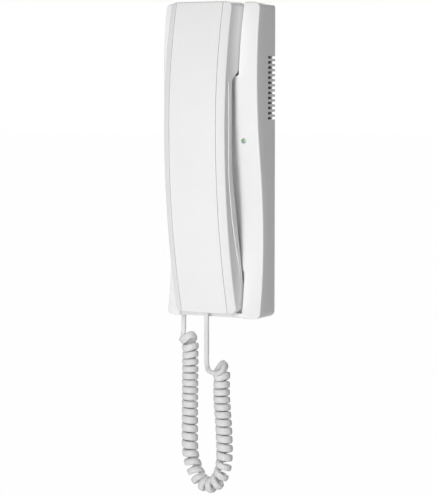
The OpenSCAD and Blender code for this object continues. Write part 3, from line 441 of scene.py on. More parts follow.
def pocket_line(front, shape):
    """Half of the pocket's section, as distances from its middle and depths, from the edge inwards."""
    turn, edge_r, floor_r, edge, floor = shape
    angle = math.radians(turn)
    drop = front - floor
    round_drop = (edge_r + floor_r) * (1 - math.cos(angle))
    nominal = max(front - min(floor, MOUTH_FLOOR), round_drop + LEAST_WALL)
    length = (nominal - round_drop) / math.sin(angle)
    points = [(edge - edge_r * math.sin(a), front - edge_r * (1 - math.cos(a)))
              for a in [angle * i / POCKET_EDGE_STEPS for i in range(POCKET_EDGE_STEPS + 1)]]
    u, d = points[-1]
    points += [(u - length * math.cos(angle) * t, d - length * math.sin(angle) * t) for t in THIRDS]
    u -= length * math.cos(angle)
    low = front - nominal
    points += [(u - floor_r * (math.sin(angle) - math.sin(a)), low + floor_r * (1 - math.cos(a)))
               for a in [angle * (1 - i / POCKET_FLOOR_STEPS) for i in range(POCKET_FLOOR_STEPS + 1)]]
    u = points[-1][0]
    points += [(u * t, low) for t in POCKET_FLOOR_SHARES]
    return [(u, front - min(front - d, drop)) for u, d in points]


def base_section(z, wall):
    """One section across the base; with a wall it is the hollow inside the moulding."""
    inner = COVER_WALL if wall else 0
    end = min(TOP - z, z - BOTTOM)
    bend = 0 if wall else rounding(END_R, end)
    front = face_depth(z) - inner - bend
    corner = rounding(BASE_CORNER_R - HOLLOW_CORNER * inner, end - inner)
    side = HALF_BASE - inner - corner - bend
    shape = pocket_at(z, POCKET_WALL if wall else 0)
    floor = min(shape.floor, face_depth(z)) - bend
    shape = shape._replace(edge=shape.edge + bend, floor=min(floor, front - LEAST_DROP))
    band_low = front - BAND
    at_band = side - SIDE_DRAFT
    at_edge = at_band - (BAND - EDGE_R) * BAND_DRAFT
    rear = HOLLOW_BACK if wall else 0
    outer = [(side - REAR_CHAMFER, rear), (side, rear + REAR_CHAMFER), (side - SIDE_DRAFT / 2, band_low / 2),
             (at_band, band_low - BAND_STEP), (at_band - BAND_STEP * BAND_DRAFT, band_low + BAND_STEP)]
    outer += arc(at_edge - EDGE_R, front - EDGE_R, EDGE_R, 0, 90, EDGE_STEPS)
    pocket = pocket_line(front, shape)
    right_edge = HANDSET_X + pocket[0][0]
    left_edge = pocket[0][0] - HANDSET_X
    line = outer + [(mix(at_edge - EDGE_R, right_edge, t), front) for t in THIRDS]
    line += [(HANDSET_X + u, d) for u, d in pocket] + [(HANDSET_X, pocket[-1][1])]
    other = outer + [(mix(at_edge - EDGE_R, left_edge, t), front) for t in THIRDS]
    other += [(u - HANDSET_X, d) for u, d in pocket]
    line += [(-x, d) for x, d in reversed(other)]
    return [(x, -d, z) for x, d in line]


def base_heights(low, high):
    """Heights of the base's sections, close together wherever its form changes."""
    return end_to_end(low, high, BASE_REACH, 5, (low + BASE_REACH, 4), *BASE_RUNS, (high - END_RUN, 6))


VENT_COUNT = 13
VENT_PITCH = 3.36
VENT_H = 1.7
VENT_DEPTH = 11.2
VENT_Z = TOP - 56.3
LIGHT_HOLE_D = 3.4
LIGHT_HOLE_LOW = 9
PLUNGER_HOLE_D = 6.4
KEY_HOLE_D = 12.6
CASE_SCREW_X = 10
CASE_SCREW_DEPTH = 6
CASE_SCREW_HOLE_D = 3.4
CASE_HEAD_HOLE_D = 5.6
CASE_HEAD_SINK = 1
BUSHING_HOLE_W = 4.8
BUSHING_HOLE_L = 5.2
BASE_EXIT = (-29.4, 9)
HANDSET_EXIT = (-3.2, 26.28)

# How far cutters reach past what they cut.
PAST = 1
BEYOND = 5

light_x, light_z = node_place("light_pipe")
plunger_x, plunger_z = node_place("hook_plunger")
key_x, key_z = node_place("release_key")


def vent_slots(bm):
    """The sounder's slots, open through the right side and out of the back."""
    for i in range(VENT_COUNT):
        z = VENT_Z + (i - (VENT_COUNT - 1) / 2) * VENT_PITCH
        add_box(bm, (HALF_BASE - COVER_WALL - PAST, -VENT_DEPTH, z - VENT_H / 2),
                (HALF_BASE + PAST, BEYOND, z + VENT_H / 2))


def cord_hole(place, bottom, wall):
    """An oval cutter for the cord's bushing, up through a bottom wall."""
    def shape(bm):
        add_oval(bm, *place, BUSHING_HOLE_W, BUSHING_HOLE_L, bottom - PAST, bottom + wall + PAST)
    return shape


def case_screw_hole(diameter, height):
    """A round cutter for the case screw, up through the bottom."""
    def shape(bm):
        add_rod(bm, (CASE_SCREW_X, -CASE_SCREW_DEPTH, BOTTOM - PAST),
                (CASE_SCREW_X, -CASE_SCREW_DEPTH, BOTTOM + height), diameter / 2)
    return shape


def make_cover():
    """The moulded cover: outer skin, hollow inside, and its slots and holes."""
    cover = loft([base_section(z, False) for z in base_heights(BOTTOM, TOP)], "cover_shell")
    inner_heights = base_heights(BOTTOM + COVER_WALL, TOP - COVER_WALL)
    combine(cover, loft([base_section(z, True) for z in inner_heights], "hollow"), "DIFFERENCE")
    cut(cover, vent_slots,
        depth_hole(light_x, light_z, LIGHT_HOLE_D, LIGHT_HOLE_LOW, CREST_DEPTH + BEYOND),
        depth_hole(plunger_x, plunger_z, PLUNGER_HOLE_D, EAR_FLOOR - BEYOND, CREST_DEPTH),
        depth_hole(key_x, key_z, KEY_HOLE_D, MOUTH_FLOOR - BEYOND, CREST_DEPTH),
        cord_hole(BASE_EXIT, BOTTOM, COVER_WALL),
        case_screw_hole(CASE_SCREW_HOLE_D, COVER_WALL + PAST))
    cut(cover, case_screw_hole(CASE_HEAD_HOLE_D, CASE_HEAD_SINK))
    return smooth(cover)


cover = make_cover()
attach(cover, "base")
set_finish(cover, "white_shell")
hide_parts("front_cover")


# ---------- painted shade: a black sheet behind the vents ---

# Sizes of the black sheet that paints the shade seen through the sounder's slots.
SHADE_SHEET_X = 32.9
SHADE_SHEET_T = 0.4
SHADE_SHEET_LIP = 0.8
SHADE_SHEET_LOW = 4.4
SHADE_SHEET_HIGH = 12.6
SHADE_SHEET_EDGE = 0.08


def make_vent_shade_sheet():
    """A black strip with two folded edges behind the sounder's slots, which paints the shade inside them."""
    lip = SHADE_SHEET_X - SHADE_SHEET_LIP
    inner = SHADE_SHEET_X - SHADE_SHEET_T
    outline = [(SHADE_SHEET_X, SHADE_SHEET_LOW), (SHADE_SHEET_X, SHADE_SHEET_HIGH), (lip, SHADE_SHEET_HIGH), (lip, SHADE_SHEET_HIGH - SHADE_SHEET_T),
               (inner, SHADE_SHEET_HIGH - SHADE_SHEET_T), (inner, SHADE_SHEET_LOW + SHADE_SHEET_T), (lip, SHADE_SHEET_LOW + SHADE_SHEET_T),
               (lip, SHADE_SHEET_LOW)]
    half_run = VENT_PITCH * VENT_COUNT / 2
    bm = bmesh.new()
    add_prism(bm, [(x, -d, VENT_Z - half_run) for x, d in outline], (0, 0, 2 * half_run))
    bmesh.ops.bevel(bm, geom=bm.edges, offset=SHADE_SHEET_EDGE, affect="EDGES", segments=2, profile=0.5,
                    material=-1)
    shade_sheet = smooth(to_object(bm, "vent_shade_sheet"))
    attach(shade_sheet, "base")
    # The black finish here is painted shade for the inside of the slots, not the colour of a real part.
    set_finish(shade_sheet, "black_rubber")
    return shade_sheet


vent_shade_sheet = make_vent_shade_sheet()


# ---------- handset ----------

HANDSET_END_R = 1
PANEL_EDGE_R = 0.5
BEVEL_EDGE_R = 0.9
BEVEL_SLOPE = BEVEL_DEPTH / (HALF_HANDSET - HALF_PANEL)
GRIP_EDGE_R = 3.5
END_EDGE_R = 2.2
LEAST_BACK_R = 0.8
MOST_BACK_R = 0.45
LEAST_CORNER_R = 0.6
LEAST_BEVEL = 0.6
PANEL_INSET = 0.3
BACK_INSET = 1.03
EAR_FLARE_GAP = 0.6
LEAST_FLARED = 0.3
MOST_FLARED = 0.85
SIDE_STEPS = 5
PANEL_EDGE_STEPS = 3
BACK_EDGE_STEPS = 8
UNDER_DEPTH = 26.5
UNDER_SLOPE = 2.4
UNDER_EASE = 2
MOUTH_EASE = 0.8
GRIP_EASE = 2
EAR_END_EASE = 2.4
EAR_BACK_EASE = 0.6

# Heights between which the ends' smaller edges, the ear end's flare and the ledge set in.
UPPER_EDGE_RUN = (EAR_END_Z - 8, EAR_END_Z + 4)
LOWER_EDGE_RUN = (SHOULDER_Z + 20, SHOULDER_Z)
FLARE_RUN = (EAR_END_Z - 2, EAR_END_Z + 10)
LEDGE_TOP_RUN = (EAR_END_Z, EAR_END_Z - 6)
LEDGE_FOOT_RUN = (SHOULDER_Z + 4, SHOULDER_Z + 16)

# Where each run of the handset's sections starts, and how many it holds.
HANDSET_RUNS = [(DROP_BOTTOM_Z - 2, 20), (SHOULDER_Z + 2, 34), (SLANT_TOP_Z - 4, 12), (SLANT_TOP_Z + 4, 24),
                (EAR_END_Z - 8, 16), (EAR_END_Z - 1, 30), (EAR_END_Z + 13, 18)]


def back_line(z):
    """Depth of the handset's back: ear end, slanted end, grip, slant and mouth end."""
    ear = GRIP_BACK - (z - EAR_END_Z) / EAR_END_LEAN
    slant = mix(SHOULDER_BACK, GRIP_BACK, (z - SHOULDER_Z) / (SLANT_TOP_Z - SHOULDER_Z))
    drop = mix(MOUTH_BACK, SHOULDER_BACK, (z - DROP_BOTTOM_Z) / (SHOULDER_Z - DROP_BOTTOM_Z))
    mouth = soft_max(MOUTH_BACK, soft_min(slant, drop, MOUTH_EASE), MOUTH_EASE)
    grip = soft_min(mouth, GRIP_BACK, GRIP_EASE)
    return soft_max(soft_min(grip, ear, EAR_END_EASE), EAR_BACK, EAR_BACK_EASE)


def back_radius(z):
    """The back's long edges are fuller along the grip than at the two ends."""
    return mix(GRIP_EDGE_R, END_EDGE_R, max(ease(*UPPER_EDGE_RUN, z), ease_down(*LOWER_EDGE_RUN, z)))


def flare(z):
    """How far the sides of the ear end swell towards the base's edge."""
    return (ear_gap(z) - EAR_FLARE_GAP) * ease(*FLARE_RUN, z)


def side_line(z, half, front, back, wider):
    """The side from its front edge to its back edge: level with the base's face it has all of its flare."""
    full = min(MOST_FLARED, max(LEAST_FLARED, (front - face_depth(z)) / (front - back)))
    places = [full * i / SIDE_STEPS for i in range(1, SIDE_STEPS + 1)] + [mix(full, 1, 0.5)]
    return [(half + wider + flare(z) * min(1, t / full) ** 2, mix(front, back, t)) for t in places]


def handset_section(z, inset, ledge=0):
    """One section across the handset; an inset makes the hollow, and a ledge stands proud along the grip."""
    end = min(TOP - z, z - HANDSET_BOTTOM) - inset
    bend = rounding(HANDSET_END_R, end)
    corner = rounding(max(LEAST_CORNER_R, HANDSET_CORNER_R - inset), end)
    half = HALF_HANDSET - inset - corner - bend
    front = bow(z) - inset - bend
    back = back_line(z) + inset * BACK_INSET + bend
    panel = HALF_PANEL - inset * PANEL_INSET
    side_depth = front - max(0, half - panel) * BEVEL_SLOPE
    slope = math.degrees(math.atan(BEVEL_SLOPE))
    panel = min(panel, half - LEAST_BEVEL)
    radius = max(LEAST_BACK_R, min(back_radius(z) - inset, (side_depth - back) * MOST_BACK_R))
    panel_cut = PANEL_EDGE_R * math.tan(math.radians(slope) / 2)
    edge_cut = BEVEL_EDGE_R * math.tan(math.radians(90 - slope) / 2)
    line = arc(panel - panel_cut, front - PANEL_EDGE_R, PANEL_EDGE_R, 90, 90 - slope, PANEL_EDGE_STEPS)
    line += arc(half - BEVEL_EDGE_R, side_depth - edge_cut, BEVEL_EDGE_R, 90 - slope, 0, EDGE_STEPS)
    wider = ledge * ease_down(*LEDGE_TOP_RUN, z) * ease(*LEDGE_FOOT_RUN, z)
    under = UNDER_DEPTH - UNDER_SLOPE * (z - HANDSET_BOTTOM) + inset
    side_back = min(soft_max(back, under, UNDER_EASE), side_depth - edge_cut - 2 * radius)
    line += side_line(z, half, side_depth - edge_cut, side_back + radius, wider)
    line += arc(line[-1][0] - radius, side_back + radius, radius, 0, -90, BACK_EDGE_STEPS)
    line += [((half - radius) / 2, back)]
    both = [(0, front)] + line + [(0, back)] + [(-u, d) for u, d in reversed(line)]
    return [(HANDSET_X + u, -d, z) for u, d in both]


def handset_heights(low, high):
    """Heights of the handset's sections, close together wherever its form changes."""
    return end_to_end(low, high, HANDSET_END_R, 6, (low + HANDSET_END_R, 8), (low + END_RUN, 10),
                      *HANDSET_RUNS, (high - END_RUN, 8))


def handset_skin(inset, name, ledge=0):
    """The handset's outer skin, or with an inset the skin of its hollow."""
    heights = handset_heights(HANDSET_BOTTOM + inset, TOP - inset)
    return loft([handset_section(z, inset, ledge) for z in heights], name)


# Height and depth along the line where the handset's two halves meet, from the top down.
PARTING_EAR = 18
PARTING_GRIP = 41.2
PARTING = [(TOP + BEYOND, PARTING_EAR), (EAR_END_Z + 13.5, PARTING_EAR), (EAR_END_Z + 2.5, PARTING_GRIP - 2),
           (EAR_END_Z - 2, PARTING_GRIP), (SLANT_TOP_Z - 2, PARTING_GRIP)]
PARTING += [(mix(SLANT_TOP_Z, DROP_BOTTOM_Z, t), mix(PARTING_GRIP, PARTING_EAR, drop))
            for t, drop in ((0.16, 0.06), (0.41, 0.23), (0.6, 0.43), (0.75, 0.61), (0.86, 0.75))]
PARTING += [(DROP_BOTTOM_Z + 3.5, PARTING_EAR), (HANDSET_BOTTOM - BEYOND, PARTING_EAR)]
PARTING_ROUND = 2.2
MOST_ROUND = 0.4
PARTING_STEPS = 4
LEDGE = 0.4
PANEL_T = 1
SEAM_W = 0.4
SLAB_PAST = 3
SLAB_STEPS = 60
FAR = 80
WIDE = 60


def side_prism(line, name):
    """A z, depth outline extruded from side to side."""
    bm = bmesh.new()
    add_prism(bm, [(-WIDE, -d, z) for z, d in line], (2 * WIDE, 0, 0))
    return to_object(bm, name)


def towards(here, there):
    """Where a corner's rounding starts: a little way from the corner towards the next one."""
    reach = math.dist(here, there)
    return [mix(a, b, min(PARTING_ROUND, MOST_ROUND * reach) / reach) for a, b in zip(here, there)]


def rounded_parting():
    """The parting line with its corners eased."""
    line = [PARTING[0]]
    for before, here, after in zip(PARTING, PARTING[1:], PARTING[2:]):
        start, end = towards(here, before), towards(here, after)
        line += [[(1 - t) ** 2 * s + 2 * t * (1 - t) * h + t * t * e for s, h, e in zip(start, here, end)]
                 for t in [i / PARTING_STEPS for i in range(PARTING_STEPS + 1)]]
    return line + [PARTING[-1]]


def panel_slab(half):
    """All that lies in front of the centre panel's bed, which follows the bow."""
    sections = []
    for z in stations((HANDSET_BOTTOM - SLAB_PAST, SLAB_STEPS), (TOP + SLAB_PAST, 1)):
        line = [(half, -FAR), (half, -bow(z) + PANEL_T), (-half, -bow(z) + PANEL_T), (-half, -FAR)]
        sections.append([(HANDSET_X + x, y, z) for x, y in line])
    return loft(sections, "slab")


SOUND_HOLE_D = 2
SOUND_RING_R = 7
SOUND_RING_COUNT = 6
MOUTH_HOLE_D = 1.6
SCREW_SEAT_D = 5.4
SCREW_HEAD_R = 2.5

sound_x, sound_z = node_place("ear_capsule")
mouth_x, mouth_z = node_place("microphone")
screw_low, screw_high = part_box("handset_screws")
SCREW_PLACES = [screw_high.z / MM - SCREW_HEAD_R, screw_low.z / MM + SCREW_HEAD_R]


def back_hole(x, z, diameter, back):
    """A round cutter through the handset's back wall."""
    return depth_hole(x, z, diameter, back - BEYOND, back + HANDSET_WALL + PAST)


def sound_holes():
    """Cutters for the earpiece: a ring of holes round one in the middle."""
    angles = [2 * math.pi * i / SOUND_RING_COUNT for i in range(SOUND_RING_COUNT)]
    places = [(SOUND_RING_R * math.cos(a), SOUND_RING_R * math.sin(a)) for a in angles] + [(0, 0)]
    return [back_hole(sound_x + x, sound_z + z, SOUND_HOLE_D, EAR_BACK) for x, z in places]


def screw_seats():
    """Cutters for the seats of the screws in the handset's back."""
    return [depth_hole(HANDSET_X, z, SCREW_SEAT_D, 0, back_line(z) + HANDSET_WALL + PAST)
            for z in SCREW_PLACES]


def make_handset():
    """Front shell, centre panel and rear shell, cut from one skin along their seams."""
    front = handset_skin(0, "handset_front_shell")
    panel = duplicate(front, "handset_centre_panel")
    combine(panel, panel_slab(HALF_PANEL - SEAM_W / 2), "INTERSECT")
    hollow = handset_skin(HANDSET_WALL, "hollow")
    combine(front, hollow, "DIFFERENCE", keep_other=True)
    rear = combine(handset_skin(0, "handset_rear_shell", LEDGE), hollow, "DIFFERENCE")
    ahead = side_prism(rounded_parting() + [(HANDSET_BOTTOM - BEYOND, FAR), (TOP + BEYOND, FAR)], "ahead")
    combine(rear, ahead, "DIFFERENCE", keep_other=True)
    cut(rear, *sound_holes(), back_hole(mouth_x, mouth_z, MOUTH_HOLE_D, MOUTH_BACK), *screw_seats())
    combine(front, ahead, "INTERSECT")
    combine(front, panel_slab(HALF_PANEL + SEAM_W / 2), "DIFFERENCE")
    cut(front, cord_hole(HANDSET_EXIT, HANDSET_BOTTOM, HANDSET_WALL))
    return [smooth(o) for o in (front, panel, rear)]


handset_front, handset_panel, handset_rear = make_handset()
for piece, slot, node in ((handset_front, "white_shell", "handset_front"),
                          (handset_panel, "white_panel", "handset_panel"),
                          (handset_rear, "white_shell", "handset_rear")):
    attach(piece, "handset")
    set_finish(piece, slot)
    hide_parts(node)


# ---------- key, plunger and light ----------

KEY_R = 6
KEY_EDGE_R = 0.8
KEY_DISH = 0.5
KEY_STEM_R = 2
KEY_STEM_L = 1
KEY_FLANGE_T = 1.2
PLUNGER_R = 3
PLUNGER_EDGE_R = 0.9
PLUNGER_CROWN = 0.1
PLUNGER_FLANGE_T = 1.4
LIGHT_R = 1.5
LIGHT_EDGE_R = 0.2
LIGHT_CROWN = 0.35
LIGHT_FLANGE_T = 1.2
DOME_STEPS = 8


def node_reach(name):
    """A node's rear and front depth and its half width, in millimetres."""
    low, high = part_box(name)
    return -high.y / MM, -low.y / MM, (high.x - low.x) / 2 / MM


def rim(radius, depth, edge_r):
    """The rounded front edge of a turned piece, from its side to its face."""
    return arc(radius - edge_r, depth - edge_r, edge_r, 0, 90, EDGE_STEPS)


def dome(radius, depth, crown):
    """A shallow crown, or a dish where it is negative, from a piece's edge to its axis."""
    shares = [1 - i / DOME_STEPS for i in range(1, DOME_STEPS + 1)]
    return [(radius * t, depth + crown * (1 - t ** 2)) for t in shares]


def turned_piece(name, node, body, slot, profile):
    """A turned piece that stands for a node of the frame."""
    place = node_place(node)
    piece = smooth(turned(profile, *place, name))
    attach(piece, body)
    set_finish(piece, slot)
    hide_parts(node)
    return piece


def make_key():
    """The door key: a round cap with a dished face, its flange and its stem."""
    rear, face, flange_r = node_reach("release_key")
    flange = rear + KEY_STEM_L
    return turned_piece("door_key", "release_key", "key", "white_shell", [
        (0, rear), (KEY_STEM_R, rear), (KEY_STEM_R, flange), (flange_r, flange),
        (flange_r, flange + KEY_FLANGE_T), (KEY_R, flange + KEY_FLANGE_T)
    ] + rim(KEY_R, face, KEY_EDGE_R) + dome(KEY_R - KEY_EDGE_R, face, -KEY_DISH))


def make_plunger():
    """The hook plunger, with a flange that stops it and a domed tip."""
    rear, face, flange_r = node_reach("hook_plunger")
    shoulder = face - PLUNGER_CROWN
    return turned_piece("domed_plunger", "hook_plunger", "plunger", "plate_plastic", [
        (0, rear), (flange_r, rear), (flange_r, rear + PLUNGER_FLANGE_T), (PLUNGER_R, rear + PLUNGER_FLANGE_T)
    ] + rim(PLUNGER_R, shoulder, PLUNGER_EDGE_R) + dome(PLUNGER_R - PLUNGER_EDGE_R, shoulder, PLUNGER_CROWN))


def make_light():
    """The status light's window: a clear rod with a crowned face."""
    rear, face, flange_r = node_reach("light_pipe")
    shoulder = face - LIGHT_CROWN
    return turned_piece("light_lens", "light_pipe", "base", "light_window", [
        (0, rear), (flange_r, rear), (flange_r, rear + LIGHT_FLANGE_T), (LIGHT_R, rear + LIGHT_FLANGE_T)
    ] + rim(LIGHT_R, shoulder, LIGHT_EDGE_R) + dome(LIGHT_R - LIGHT_EDGE_R, shoulder, LIGHT_CROWN))


door_key, domed_plunger, light_lens = make_key(), make_plunger(), make_light()


# ---------- cord ----------

# The flat cord, its curls and how they are drawn. ROUND_POWER is between a box at 0 and an oval at 1.
CORD_W = 4.4
CORD_T = 3.2
ROUND_POWER = 0.62
CURL_COUNT = 35
CURL_R = 4.05
CURL_START = 222
FIRST_CURL = 0.84
TURN_GAP = 0.45
MOST_WIDER = 0.8
BEND_LOW_Z = -207
BEND_HIGH_Z = -196
RINGS_PER_CURL = 28
RINGS_TO_LEAD = 3
RING_POINTS = 14
AXIS_STEPS = 24
LEAD_STEPS = 8
QUARTER_TURN = 0.25
CORD_SMOOTH_ANGLE = 60

# Points down the base's lead and up the handset's: x, depth and z. Along the curl's axis each point
# also has the pitch of the turns and how far they lean.
BASE_LEAD = [(-29.4, 9, -105.8), (-29.4, 9, -109), (-29.5, 9, -113), (-29.6, 9, -117.3), (-30, 9.3, -120.4)]
AXIS = [(-28, 9, -120.8, 8.2, 1.6), (-25.5, 9, -123.4, 7.4, 1.8), (-24.4, 9, -127.9, 5.4, 2),
        (-24.4, 9, -134, 5, 1.7), (-24.5, 9, -145.4, 4.8, 0.9), (-24.7, 9, -160.4, 4.8, 0.7),
        (-24.8, 9.2, -180.4, 5.6, 0.6), (-24.2, 9.8, -200.4, 6.1, 0.4), (-20.3, 11.6, -211.3, 6.6, 0.2),
        (-14.2, 14.6, -218.7, 6.8, 0), (-6.7, 17.6, -221.1, 7, 0), (1, 21, -218.5, 6.8, 0),
        (6.4, 22.6, -210.5, 6.6, 0.2), (8.6, 23.3, -200, 6.2, 0.4), (8.4, 23.6, -182, 5.5, 0.6),
        (7.2, 24, -163, 5, 0.7), (6.8, 24, -153, 5, 1.1), (7, 23.8, -146.5, 6, 1.8),
        (6.9, 24.8, -140.6, 8, 1.6), (6.6, 28.6, -138.4, 9, 1.4)]
HANDSET_LEAD = [(0.4, 29, -141), (-2, 27.4, -138.8), (-3.1, 26.4, -135.5), (-3.2, 26.3, -131.5),
                (-3.2, 26.3, -127), (-3.2, 26.3, -119), (-3.2, 26.3, -111), (-3.2, 26.3, -102.3)]
FLAT_ACROSS = Vector((-0.93, -0.37, 0)).normalized()
FLAT_ALONG = Vector((0.37, 0.93, 0)).normalized()
LEAN_SIDE = Vector((0.9, 0.44, 0)).normalized()

# One station of the cord's route: its middle, which way its flat face looks, and its width.
Station = namedtuple("Station", "point out width")


def to_frame(x, depth, z):
    """A point in the frame, from its depth off the wall."""
    return x, -depth, z


def between(a, b, c, d, t):
    """Catmull-Rom value between b and c."""
    return 0.5 * (2 * b + (c - a) * t + (2 * a - 5 * b + 4 * c - d) * t * t + (3 * b - a - 3 * c + d) * t**3)


def spline(points, count):
    """Smooth curve through points of any size, with its ends extended straight."""
    first = tuple(2 * a - b for a, b in zip(points[0], points[1]))
    last = tuple(2 * a - b for a, b in zip(points[-1], points[-2]))
    line = [first, *points, last]
    curve = []
    for run in zip(line, line[1:], line[2:], line[3:]):
        curve += [tuple(between(*values, j / count) for values in zip(*run)) for j in range(count)]
    return curve + [tuple(points[-1])]


def curl_width(pitch, z):
    """Width of the flat cord: it lies flatter where its turns stand apart, but not in the loop's bend."""
    room = min(MOST_WIDER, max(0, pitch - TURN_GAP - CORD_W))
    return CORD_W + room * ease(BEND_LOW_Z, BEND_HIGH_Z, z)


def curl_stations():
    """Stations round the curl's axis, a fixed number for each turn."""
    line = spline([(*to_frame(x, d, z), pitch, lean) for x, d, z, pitch, lean in AXIS], AXIS_STEPS)
    turns = [0]
    for a, b in zip(line, line[1:]):
        turns.append(turns[-1] + math.dist(a[:3], b[:3]) / ((a[3] + b[3]) / 2))

    def at(turn):
        """Middle, lean and width at a number of turns along the axis."""
        turn = min(turns[-1], max(0, turn))
        i = max(0, bisect_left(turns, turn) - 1)
        t = (turn - turns[i]) / (turns[i + 1] - turns[i])
        x, y, z, pitch, lean = [mix(a, b, t) for a, b in zip(line[i], line[i + 1])]
        return Vector((x, y, z)), lean, curl_width(pitch, z)

    found = []
    for i in range(RINGS_PER_CURL * CURL_COUNT + 1):
        turn = i / (RINGS_PER_CURL * CURL_COUNT) * turns[-1]
        along = (at(turn + QUARTER_TURN)[0] - at(turn - QUARTER_TURN)[0]).normalized()
        first = along.cross(FLAT_ALONG).cross(along).normalized()
        second = along.cross(first)
        angle = math.radians(CURL_START) + 2 * math.pi * i / RINGS_PER_CURL
        out = math.cos(angle) * second + math.sin(angle) * first
        middle, lean, width = at(turn)
        radius = CURL_R * mix(FIRST_CURL, 1, ease(0, RINGS_PER_CURL, i))
        found.append(Station(middle + radius * out + Vector((0, 0, lean * out.dot(LEAN_SIDE))), out, width))
    return found


def lead_stations(points, first, second, twist_from):
    """A straight lead that turns into the curl through two of its stations, and twists as it turns."""
    controls = [Vector(to_frame(*p)) for p in points] + [first.point, second.point]
    line = spline(controls, LEAD_STEPS)[:len(points) * LEAD_STEPS]
    found = []
    for i, point in enumerate(line):
        t = ease(twist_from * LEAD_STEPS, len(line), i)
        found.append(Station(Vector(point), (FLAT_ACROSS * (1 - t) + first.out * t).normalized(), CORD_W))
    return found


def cord_route():
    """The whole cord's stations, from the base to the handset."""
    curl = curl_stations()
    start = lead_stations(BASE_LEAD, curl[0], curl[RINGS_TO_LEAD], twist_from=2)
    end = lead_stations(HANDSET_LEAD[::-1], curl[-1], curl[-1 - RINGS_TO_LEAD], twist_from=3)
    return start + curl + end[::-1]


def cord_ring(route, i):
    """The flat cord's rounded outline at one station of its route."""
    point, across, width = route[i]
    if i in (0, len(route) - 1):
        tangent = Vector((0, 0, -1 if i == 0 else 1))
    else:
        tangent = (route[i + 1].point - route[i - 1].point).normalized()
    across = (across - across.dot(tangent) * tangent).normalized()
    wide = tangent.cross(across)
    ring = []
    for k in range(RING_POINTS):
        a = 2 * math.pi * k / RING_POINTS
        c = math.copysign(abs(math.cos(a)) ** ROUND_POWER, math.cos(a))
        s = math.copysign(abs(math.sin(a)) ** ROUND_POWER, math.sin(a))
        ring.append(point + across * c * CORD_T / 2 + wide * s * width / 2)
    return ring


def make_cord():
    """The cord from its bushing in the base to the one in the handset, in one piece."""
    route = cord_route()
    rings = [cord_ring(route, i) for i in range(len(route))]
    cord = smooth(loft(rings, "curly_cord"), CORD_SMOOTH_ANGLE)
    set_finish(cord, "cord_jacket")
    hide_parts("cord_base_lead", "cord_curl", "cord_handset_lead")
    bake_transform(cord)
    return cord


curly_cord = make_cord()


# ---------- finishes ----------

# The texture's rates are repeats in a metre, and its relief is in metres.
GRAIN_RATE = 2600
RIPPLE_RATE = 24
GRAIN_DETAIL = 2
RIPPLE_DETAIL = 1
RIPPLE_SHARE = 0.4
RELIEF_DEPTH = 0.0002
GLOSS_SWING = 0.08


def moulded_texture_group():
    """Fine moulded texture and slow unevenness, from the object's own coordinates."""
    group = bpy.data.node_groups.new("moulded_texture", "ShaderNodeTree")
    for label, value in (("Grain per metre", GRAIN_RATE), ("Ripple per metre", RIPPLE_RATE),
                         ("Ripple share", RIPPLE_SHARE)):
        socket = group.interface.new_socket(label, in_out="INPUT", socket_type="NodeSocketFloat")
        socket.default_value = value
    for label in ("Height", "Mottle"):
        group.interface.new_socket(label, in_out="OUTPUT", socket_type="NodeSocketFloat")
    nodes, links = group.nodes, group.links
    given, result = nodes.new("NodeGroupInput"), nodes.new("NodeGroupOutput")
    place = nodes.new("ShaderNodeTexCoord")
    grain = nodes.new("ShaderNodeTexNoise")
    ripple = nodes.new("ShaderNodeTexNoise")
    blend = nodes.new("ShaderNodeMix")
    for texture, rate, detail in ((grain, "Grain per metre", GRAIN_DETAIL),
                                  (ripple, "Ripple per metre", RIPPLE_DETAIL)):
        texture.inputs["Detail"].default_value = detail
        links.new(place.outputs["Object"], texture.inputs["Vector"])
        links.new(given.outputs[rate], texture.inputs["Scale"])
    links.new(given.outputs["Ripple share"], blend.inputs["Factor"])
    links.new(grain.outputs["Fac"], blend.inputs["A"])
    links.new(ripple.outputs["Fac"], blend.inputs["B"])
    links.new(blend.outputs["Result"], result.inputs["Height"])
    links.new(ripple.outputs["Fac"], result.inputs["Mottle"])
    return group


MOULDED = moulded_texture_group()


def finish(name, colour, roughness, grain=GRAIN_RATE, bump=0.05, mottle=0.02, metallic=0, specular=0.5):
    """A material whose colour, gloss and relief vary a little with the moulded texture."""
    material = bpy.data.materials.new(name)
    material.use_nodes = True
    nodes, links = material.node_tree.nodes, material.node_tree.links
    shader = nodes["Principled BSDF"]
    texture = nodes.new("ShaderNodeGroup")
    texture.node_tree = MOULDED
    texture.inputs["Grain per metre"].default_value = grain
    tint = nodes.new("ShaderNodeMix")
    tint.data_type = "RGBA"
    tint.inputs["A"].default_value = (*[c * (1 - mottle) for c in colour], 1)
    tint.inputs["B"].default_value = (*[min(1, c * (1 + mottle)) for c in colour], 1)
    links.new(texture.outputs["Mottle"], tint.inputs["Factor"])
    links.new(tint.outputs["Result"], shader.inputs["Base Color"])
    gloss = nodes.new("ShaderNodeMapRange")
    gloss.inputs["To Min"].default_value = roughness - GLOSS_SWING / 2
    gloss.inputs["To Max"].default_value = roughness + GLOSS_SWING / 2
    links.new(texture.outputs["Height"], gloss.inputs["Value"])
    links.new(gloss.outputs["Result"], shader.inputs["Roughness"])
    relief = nodes.new("ShaderNodeBump")
    relief.inputs["Strength"].default_value = bump
    relief.inputs["Distance"].default_value = RELIEF_DEPTH
    links.new(texture.outputs["Height"], relief.inputs["Height"])
    links.new(relief.outputs["Normal"], shader.inputs["Normal"])
    shader.inputs["Metallic"].default_value = metallic
    shader.inputs["Specular IOR Level"].default_value = specular
    return material


